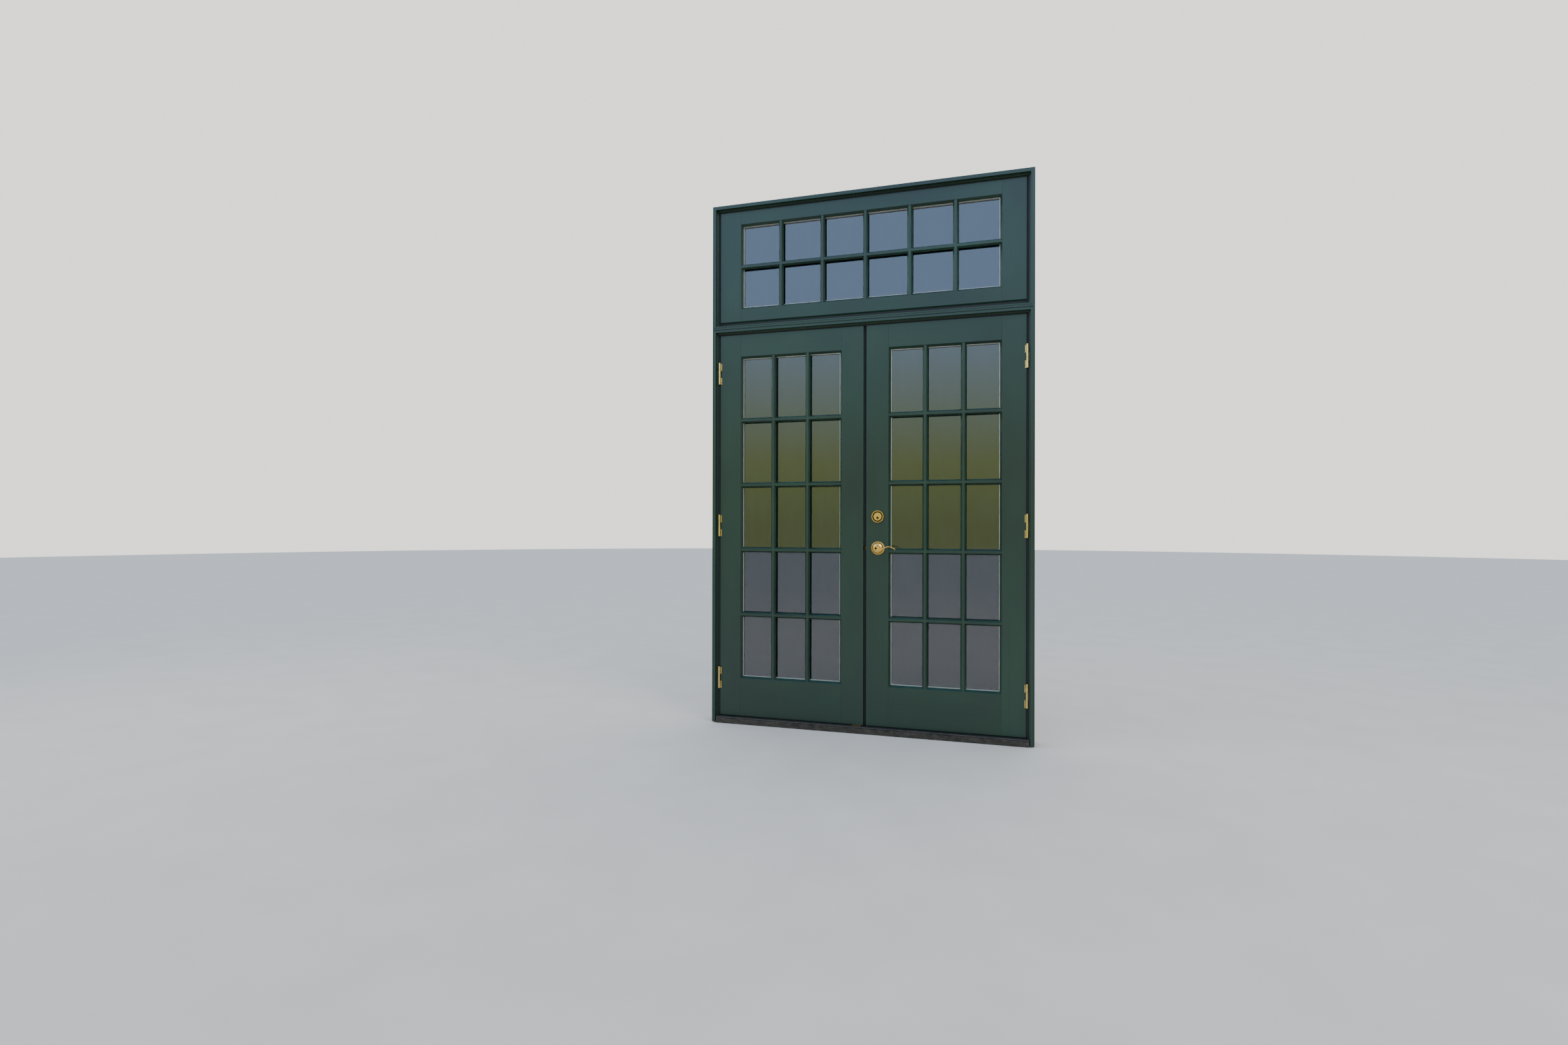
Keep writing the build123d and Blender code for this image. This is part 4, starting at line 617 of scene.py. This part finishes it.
@dataclass
class Screw:
    """Countersunk screw head seen in a plate, with its cross recess."""

    head_mm: float = 3.6
    rise_mm: float = 0.35
    segments: int = 28
    # Each ring of the dome: its share of the head's radius, and of its rise.
    rings: tuple[Span, ...] = ((1.0, -0.2), (1.0, 0.1), (0.82, 0.75), (0.5, 1.0))
    # Reach and half width of the recess's arms, as shares of the head's radius.
    arm: float = 0.46
    half_arm: float = 0.11
    # The recess narrows to this share, and ends this share of the rise under the plate.
    taper: float = 0.8
    sink: float = 0.4

    def circle(self, radius_mm: float) -> list[Span]:
        """Corners of a ring, in millimetres.

        Args:
            radius_mm: its radius.

        Returns:
            X and Y of each corner.
        """
        turns = (2 * math.pi * i / self.segments for i in range(self.segments))
        return [(radius_mm * math.cos(turn), radius_mm * math.sin(turn)) for turn in turns]

    def recess(self, share: float = 1.0) -> list[Span]:
        """Outline of the driving recess.

        Args:
            share: its size, as a share of that at the top.

        Returns:
            X and Y of each corner in millimetres, from the head's middle.
        """
        reach = self.head_mm * self.arm * share
        half = self.head_mm * self.half_arm * share
        return [(x * math.cos(turn) - y * math.sin(turn), x * math.sin(turn) + y * math.cos(turn))
                for turn in (math.pi / 2 * quarter for quarter in range(4))
                for x, y in ((reach, -half), (reach, half), (half, half))]

    def loop(self, mesh: bmesh.types.BMesh, place: Matrix, corners: list[Span],
             rise_mm: float) -> list[bmesh.types.BMVert]:
        """Adds one loop of points.

        Args:
            mesh: mesh that gets them.
            place: where the head sits, from millimetres to metres.
            corners: X and Y of each point.
            rise_mm: their height above the plate.

        Returns:
            The points.
        """
        return [mesh.verts.new(place @ Vector((x, y, rise_mm))) for x, y in corners]

    def wall(self, mesh: bmesh.types.BMesh, first: list[bmesh.types.BMVert],
             second: list[bmesh.types.BMVert]) -> None:
        """Joins two loops by a ring of faces.

        Args:
            mesh: mesh that gets the faces.
            first: points of one loop.
            second: as many points of the other.
        """
        for i in range(len(first)):
            j = (i + 1) % len(first)
            mesh.faces.new((first[i], first[j], second[j], second[i]))

    def add(self, mesh: bmesh.types.BMesh, at_mm: Triple, out: Triple) -> None:
        """Adds one head to a mesh.

        Args:
            mesh: mesh that gets the head.
            at_mm: middle of the head on the plate's face.
            out: direction that the head faces.
        """
        turn = Vector(out).to_track_quat("Z", "Y").to_matrix().to_4x4()
        place = Matrix.Translation(Vector(at_mm) * MM) @ turn @ Matrix.Scale(MM, 4)
        dome = [self.loop(mesh, place, self.circle(self.head_mm * share), self.rise_mm * rise)
                for share, rise in self.rings]
        brim = self.loop(mesh, place, self.recess(), self.rise_mm)
        bottom = self.loop(mesh, place, self.recess(self.taper), -self.rise_mm * self.sink)
        for lower, upper in zip(dome, dome[1:]):
            self.wall(mesh, lower, upper)
        top = dome[-1]
        outer = [mesh.edges.get(ends) for ends in zip(top, top[1:] + top[:1])]
        inner = [mesh.edges.new(ends) for ends in zip(brim, brim[1:] + brim[:1])]
        bmesh.ops.triangle_fill(mesh, edges=outer + inner, use_beauty=True)
        self.wall(mesh, brim, bottom)
        mesh.faces.new(bottom)


@dataclass
class Frame:
    """The fixed frame: jambs, heads and sills, its threshold, its seals and its side of the hinges."""

    finishes: ClassVar[dict[Finish, tuple[str, ...]]] = {
        PAINT_UPRIGHT: ("left_jamb", "right_jamb", "transom_left_jamb", "transom_right_jamb"),
        PAINT_LEVEL: ("door_head", "transom_head", "transom_sill"),
        RUBBER: ("door_seals", "transom_seals"),
        BRONZE: ("threshold",),
        BRASS: ("bolt_strikes",),
        BRASS_HINGE: ("jamb_hinge_plates", "hinge_pins"),
    }

    def dress(self) -> None:
        """Gives each member its finish."""
        for finish, names in self.finishes.items():
            for name in names:
                dress(name, finish)


@dataclass
class GlazedSash:
    """One glazed sash: its boards, bars, beads and sealed glass."""

    name: str
    stiles: tuple[str, str]
    rails: tuple[str, str] = ("top_rail", "bottom_rail")
    glazing: ClassVar[dict[str, Finish]] = {
        "glass": GLASS,
        "spacer": SPACER,
        "outer_muntins": PAINT_UPRIGHT,
        "inner_muntins": PAINT_UPRIGHT,
        "glazing_beads": PAINT_UPRIGHT,
    }

    def dress(self) -> None:
        """Gives each board, bar and pane its finish."""
        for stile in self.stiles:
            dress(f"{self.name}_{stile}", PAINT_UPRIGHT)
        for rail in self.rails:
            dress(f"{self.name}_{rail}", PAINT_LEVEL)
        for part, finish in self.glazing.items():
            dress(f"{self.name}_{part}", finish)


@dataclass
class Hinges:
    """Butt hinges of one leaf, with the screws that hold their plates to leaf and jamb."""

    body: str
    # -1 for the left leaf, 1 for the right one.
    side: int
    screw: Screw = field(default_factory=Screw)
    plate_mm: float = 108.0
    # Height from the plate's middle, and depth, of each screw of a plate.
    holes_mm: tuple[Span, ...] = ((-36.0, -4.0), (0.0, -12.0), (36.0, -4.0))
    leaf_face_mm: float = 769.5
    jamb_face_mm: float = 777.0

    def dress(self) -> None:
        """Gives the leaf's plates their finish."""
        dress(f"{self.body}_hinge_plates", BRASS_HINGE)

    def heads(self, where: str, face_mm: float, out: int, body: str) -> bpy.types.Object:
        """Makes the screw heads of the three plates on one side of the joint.

        Args:
            where: "leaf" or "jamb", for the piece's name.
            face_mm: how far from the doors' middle the plates' faces lie.
            out: direction along X that the heads face.
            body: body that they move with.

        Returns:
            The heads, as one piece.
        """
        low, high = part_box(f"{self.body}_hinge_plates")
        half = self.plate_mm / 2
        centres = [low[2] / MM + half, (low[2] + high[2]) / 2 / MM, high[2] / MM - half]
        mesh = bmesh.new()
        for centre in centres:
            for rise, depth in self.holes_mm:
                self.screw.add(mesh, (self.side * face_mm, depth, centre + rise), (out, 0, 0))
        return piece(f"{self.body}_{where}_hinge_screws", mesh, BRASS_SCREW, body)

    def build(self) -> list[bpy.types.Object]:
        """Makes the screw heads of the leaf's plates and of the jamb's plates.

        Returns:
            Both groups of heads.
        """
        return [
            self.heads("leaf", self.leaf_face_mm, self.side, self.body),
            self.heads("jamb", self.jamb_face_mm, -self.side, "frame"),
        ]


@dataclass
class LockSet:
    """Levers, latch and deadbolt of the active leaf, and the flush bolts and strikes of the passive one."""

    finishes: ClassVar[dict[Finish, tuple[str, ...]]] = {
        BRASS: ("outer_lever", "inner_lever", "lever_rosettes", "deadbolt_collars", "thumb_turn",
                "flush_bolt_plates", "top_flush_bolt", "bottom_flush_bolt"),
        # Dark brass on the key plug, latch bolt and strikes is painted shade.
        BRASS_PAINTED_SHADE: ("key_plug", "latch_bolt", "lock_strikes"),
        ZINC: ("spindle", "latch_case", "deadbolt_case", "deadbolt_bolt"),
    }
    screw: Screw = field(default_factory=lambda: Screw(head_mm=3.0))
    # Heights of the latch and of the deadbolt.
    locks_mm: Span = (920.5, 1070.0)
    # Middle of the leaf's thickness, where faceplates and strikes sit.
    middle_mm: float = -7.75
    # Plates of either leaf at the meeting gap: how far their faces lie from the doors' middle.
    face_mm: float = 6.7
    faceplate_reach_mm: float = 22.0
    strike_reach_mm: float = 24.0
    # Inner plate of the deadbolt: X of its middle, Y of its face, and reach of its two screws.
    inner_plate_mm: Triple = (66.7, 20.5, 19.0)
    # Face plates of the flush bolts: X and Y, and insets of their screws from the ends of the pair.
    flush_plate_mm: Span = (-37.5, 14.5)
    flush_insets_mm: Span = (8.0, 88.0)

    def dress(self) -> None:
        """Gives each piece of the locks its finish."""
        for finish, names in self.finishes.items():
            for name in names:
                dress(name, finish)

    def lock_screws(self) -> bpy.types.Object:
        """Makes the screw heads of the faceplates and of the deadbolt's inner plate.

        Returns:
            The heads, as one piece.
        """
        mesh = bmesh.new()
        for height in self.locks_mm:
            for rise in (-self.faceplate_reach_mm, self.faceplate_reach_mm):
                self.screw.add(mesh, (self.face_mm, self.middle_mm, height + rise), (-1, 0, 0))
        x, y, reach = self.inner_plate_mm
        for rise in (-reach, reach):
            self.screw.add(mesh, (x, y, self.locks_mm[1] + rise), (0, 1, 0))
        return piece("lock_screws", mesh, BRASS_SCREW, "right_leaf")

    def strike_screws(self) -> bpy.types.Object:
        """Makes the screw heads of the strikes and of the flush bolts' face plates.

        Returns:
            The heads, as one piece.
        """
        mesh = bmesh.new()
        for height in self.locks_mm:
            for rise in (-self.strike_reach_mm, self.strike_reach_mm):
                self.screw.add(mesh, (-self.face_mm, self.middle_mm, height + rise), (1, 0, 0))
        low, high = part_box("flush_bolt_plates")
        x, y = self.flush_plate_mm
        near, far = self.flush_insets_mm
        for height in (low[2] / MM + near, low[2] / MM + far, high[2] / MM - far, high[2] / MM - near):
            self.screw.add(mesh, (x, y, height), (0, 1, 0))
        return piece("strike_screws", mesh, BRASS_SCREW, "left_leaf")

    def build(self) -> list[bpy.types.Object]:
        """Makes both groups of screw heads."""
        return [self.lock_screws(), self.strike_screws()]


@dataclass
class Astragal:
    """Meeting strip of the passive leaf, its seal, and the thin rubber fin on that seal.

    The fin closes the slit between the leaves to a hair. It thins out and curls towards the inside.
    """

    root_mm: float = 1.2
    tip_mm: float = 0.4
    sunk_mm: float = 0.3
    back_mm: float = 1.8
    bend_mm: float = 1.85
    curl_deg: float = 60.0
    steps: int = 6

    def dress(self) -> None:
        """Gives the strip and its seal their finish."""
        # The strip's near-black colour is painted shade of the meeting gap.
        dress("astragal", BLACK_PAINTED_SHADE)
        dress("astragal_seal", RUBBER)

    def outline(self) -> list[Span]:
        """Cross-section of the fin.

        Returns:
            X and Y of its corners in millimetres, from the middle of its root.
        """
        front, back = [], []
        for step in range(self.steps + 1):
            share = step / self.steps
            turn = math.radians(self.curl_deg) * share
            half = (self.root_mm + (self.tip_mm - self.root_mm) * share) / 2
            x, y = self.bend_mm * math.sin(turn), self.bend_mm * (1 - math.cos(turn))
            front.append((x + half * math.sin(turn), y - half * math.cos(turn)))
            back.append((x - half * math.sin(turn), y + half * math.cos(turn)))
        return front + back[::-1]

    def build(self) -> list[bpy.types.Object]:
        """Makes the fin along the whole seal.

        Returns:
            The fin.
        """
        low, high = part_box("astragal_seal")
        root_x, root_y = high[0] - self.sunk_mm * MM, high[1] - self.back_mm * MM
        ends = (low[2] + self.sunk_mm * MM, high[2] - self.sunk_mm * MM)
        mesh = bmesh.new()
        rings = [[mesh.verts.new((root_x + x * MM, root_y + y * MM, height)) for x, y in self.outline()]
                 for height in ends]
        for i, corner in enumerate(rings[0]):
            mesh.faces.new((rings[0][i - 1], corner, rings[1][i], rings[1][i - 1]))
        for ring in rings:
            mesh.faces.new(ring)
        return [piece("meeting_fin", mesh, RUBBER, "left_leaf")]


@dataclass
class PhotoCamera:
    """Camera at the photograph's place and angle."""

    lens_mm: float = 17.843
    sensor_mm: float = 36.0
    eye: Triple = (0.742, -3.848, 1.029)
    yaw_deg: float = 16.92
    pitch_deg: float = 0.06
    roll_deg: float = 0.106
    # The picture's middle lies 4 of its 2353 pixels off the lens's axis.
    shift_y: float = 4 / 2353
    clip_end: float = 100.0

    def build(self) -> None:
        """Makes the camera and hands it to the scene."""
        yaw, pitch, roll = (math.radians(angle) for angle in (self.yaw_deg, self.pitch_deg, self.roll_deg))
        ahead = Vector((-math.sin(yaw) * math.cos(pitch), math.cos(yaw) * math.cos(pitch), math.sin(pitch)))
        right = Vector((math.cos(yaw), math.sin(yaw), 0))
        up = right.cross(ahead)
        level_right = right * math.cos(roll) + up * math.sin(roll)
        level_up = up * math.cos(roll) - right * math.sin(roll)
        turn = Matrix((level_right, level_up, -ahead)).transposed().to_4x4()
        data = bpy.data.cameras.new("photo_camera")
        data.lens = self.lens_mm
        data.sensor_width = self.sensor_mm
        data.sensor_fit = "HORIZONTAL"
        data.shift_y = self.shift_y
        data.clip_end = self.clip_end
        made = bpy.data.objects.new("photo_camera", data)
        made.matrix_world = Matrix.Translation(self.eye) @ turn
        bpy.context.scene.collection.objects.link(made)
        bpy.context.scene.camera = made


@dataclass
class Floor:
    """Round pale sheet, so wide that it has no corner in any view."""

    radius: float = 32.0
    segments: int = 96
    # A hair under the threshold, so the two faces don't fight.
    height: float = -0.0005

    def build(self) -> None:
        """Lays the sheet as part of the stage."""
        mesh = bmesh.new()
        bmesh.ops.create_circle(mesh, cap_ends=True, segments=self.segments, radius=self.radius)
        data = bpy.data.meshes.new("floor")
        mesh.to_mesh(data)
        mesh.free()
        data.materials.append(PAPER.material())
        made = bpy.data.objects.new("floor", data)
        made.location = (0, 0, self.height)
        bpy.context.scene.collection.objects.link(made)


@dataclass
class Dome:
    """Soft dome that lights the doors and is mirrored in them, behind a plain pale backdrop.

    Before the doors it is olive green at the horizon and pale blue above. Overhead it is a clearer blue, and
    behind the doors warm white. A rise is the height of a direction, 0 at the horizon and 1 overhead. A depth
    is its Y, below 0 before the doors.
    """

    horizon: str = "#B2C07E"
    above: str = "#A9C6EE"
    overhead: str = "#8DB6F2"
    behind: str = "#F1EFEA"
    above_rise: Span = (0.08, 0.28)
    overhead_rise: Span = (0.62, 0.90)
    front_depth: Span = (0.15, -0.35)
    # The front grows stronger over this rise, from the first power to the second.
    front_rise: Span = (0.0, 0.28)
    front_power: Span = (1.3, 2.5)
    behind_power: float = 1.5
    overhead_power: float = 1.9
    backdrop_power: float = 1.9

    def build(self) -> None:
        """Makes the world, with the dome for light and reflections and the backdrop for the eye."""
        world = bpy.data.worlds.new("studio_dome")
        bpy.context.scene.world = world
        world.use_nodes = True
        tree = world.node_tree
        way = node(tree, "ShaderNodeSeparateXYZ", {0: node(tree, "ShaderNodeTexCoord").outputs["Generated"]})
        rise, depth = way.outputs["Z"], way.outputs["Y"]
        front, above, overhead = (
            node(tree, "ShaderNodeMapRange", {"Value": value, "From Min": start, "From Max": full}).outputs[0]
            for value, (start, full) in ((depth, self.front_depth),
                                         (rise, self.above_rise),
                                         (rise, self.overhead_rise))
        )
        tone = node(tree, "ShaderNodeMix", {
            MIX_SHARE: above,
            MIX_COLOUR_A: linear(self.horizon),
            MIX_COLOUR_B: linear(self.above),
        }, data_type="RGBA").outputs[MIX_COLOUR_OUT]
        tone = node(tree, "ShaderNodeMix", {
            MIX_SHARE: front,
            MIX_COLOUR_A: linear(self.behind),
            MIX_COLOUR_B: tone,
        }, data_type="RGBA").outputs[MIX_COLOUR_OUT]
        tone = node(tree, "ShaderNodeMix", {
            MIX_SHARE: overhead,
            MIX_COLOUR_A: tone,
            MIX_COLOUR_B: linear(self.overhead),
        }, data_type="RGBA").outputs[MIX_COLOUR_OUT]
        power = node(tree, "ShaderNodeMapRange", {
            "Value": rise,
            "From Min": self.front_rise[0],
            "From Max": self.front_rise[1],
            "To Min": self.front_power[0],
            "To Max": self.front_power[1],
        }).outputs[0]
        power = node(tree, "ShaderNodeMix", {
            MIX_SHARE: front,
            MIX_VALUE_A: self.behind_power,
            MIX_VALUE_B: power,
        }, data_type="FLOAT").outputs[MIX_VALUE_OUT]
        power = node(tree, "ShaderNodeMix", {
            MIX_SHARE: overhead,
            MIX_VALUE_A: power,
            MIX_VALUE_B: self.overhead_power,
        }, data_type="FLOAT").outputs[MIX_VALUE_OUT]
        dome = tree.nodes["Background"]
        tree.links.new(tone, dome.inputs["Color"])
        tree.links.new(power, dome.inputs["Strength"])
        plain = node(tree, "ShaderNodeBackground", {
            "Color": linear(self.behind),
            "Strength": self.backdrop_power,
        })
        seen = node(tree, "ShaderNodeLightPath").outputs["Is Camera Ray"]
        both = node(tree, "ShaderNodeMixShader", {0: seen, 1: dome.outputs[0], 2: plain.outputs[0]})
        tree.links.new(both.outputs[0], tree.nodes["World Output"].inputs["Surface"])


@dataclass(frozen=True)
class Lamp:
    """One soft square light. Its size is the edge of its square, in metres."""

    name: str
    at: Triple
    size: float
    watts: float
    tone: str
    aim: Triple = (0.0, 0.0, 1.2)

    def build(self) -> None:
        """Hangs the light and turns it to its aim."""
        data = bpy.data.lights.new(self.name, "AREA")
        data.shape = "SQUARE"
        data.size = self.size
        data.energy = self.watts
        data.color = linear(self.tone)[:3]
        made = bpy.data.objects.new(self.name, data)
        made.location = self.at
        made.rotation_euler = (Vector(self.aim) - Vector(self.at)).to_track_quat("-Z", "Y").to_euler()
        bpy.context.scene.collection.objects.link(made)


@dataclass
class Studio:
    """Camera, floor, dome and lights."""

    stage: ClassVar[tuple[PhotoCamera | Floor | Dome | Lamp, ...]] = (
        PhotoCamera(),
        Floor(),
        Dome(),
        Lamp("key", (3.6, -3.4, 5.2), size=2.6, watts=110.0, tone="#FFF6EA"),
        Lamp("fill", (-4.6, -2.2, 3.4), size=2.4, watts=50.0, tone="#EAF2FF"),
    )

    def build(self) -> None:
        """Sets up each thing in turn."""
        for thing in self.stage:
            thing.build()


def main() -> None:
    """Builds the studio, dresses each sub-assembly and adds its small pieces."""
    logging.basicConfig(level=logging.INFO, format="%(name)s: %(message)s")
    Studio().build()
    log.info("studio: camera, floor, dome and lights")
    Frame().dress()
    log.info("frame: jambs, heads, sills, threshold, seals, strikes and hinge plates")
    for sash in (GlazedSash("transom", ("left_stile", "right_stile")),
                 GlazedSash("left_leaf", ("hinge_stile", "meeting_stile")),
                 GlazedSash("right_leaf", ("hinge_stile", "meeting_stile"))):
        sash.dress()
        log.info("sash: %s", sash.name)
    for fittings in (Hinges("left_leaf", -1), Hinges("right_leaf", 1), LockSet(), Astragal()):
        fittings.dress()
        for made in fittings.build():
            log.info("piece: %s", made.name)


if __name__ == "__main__":
    main()
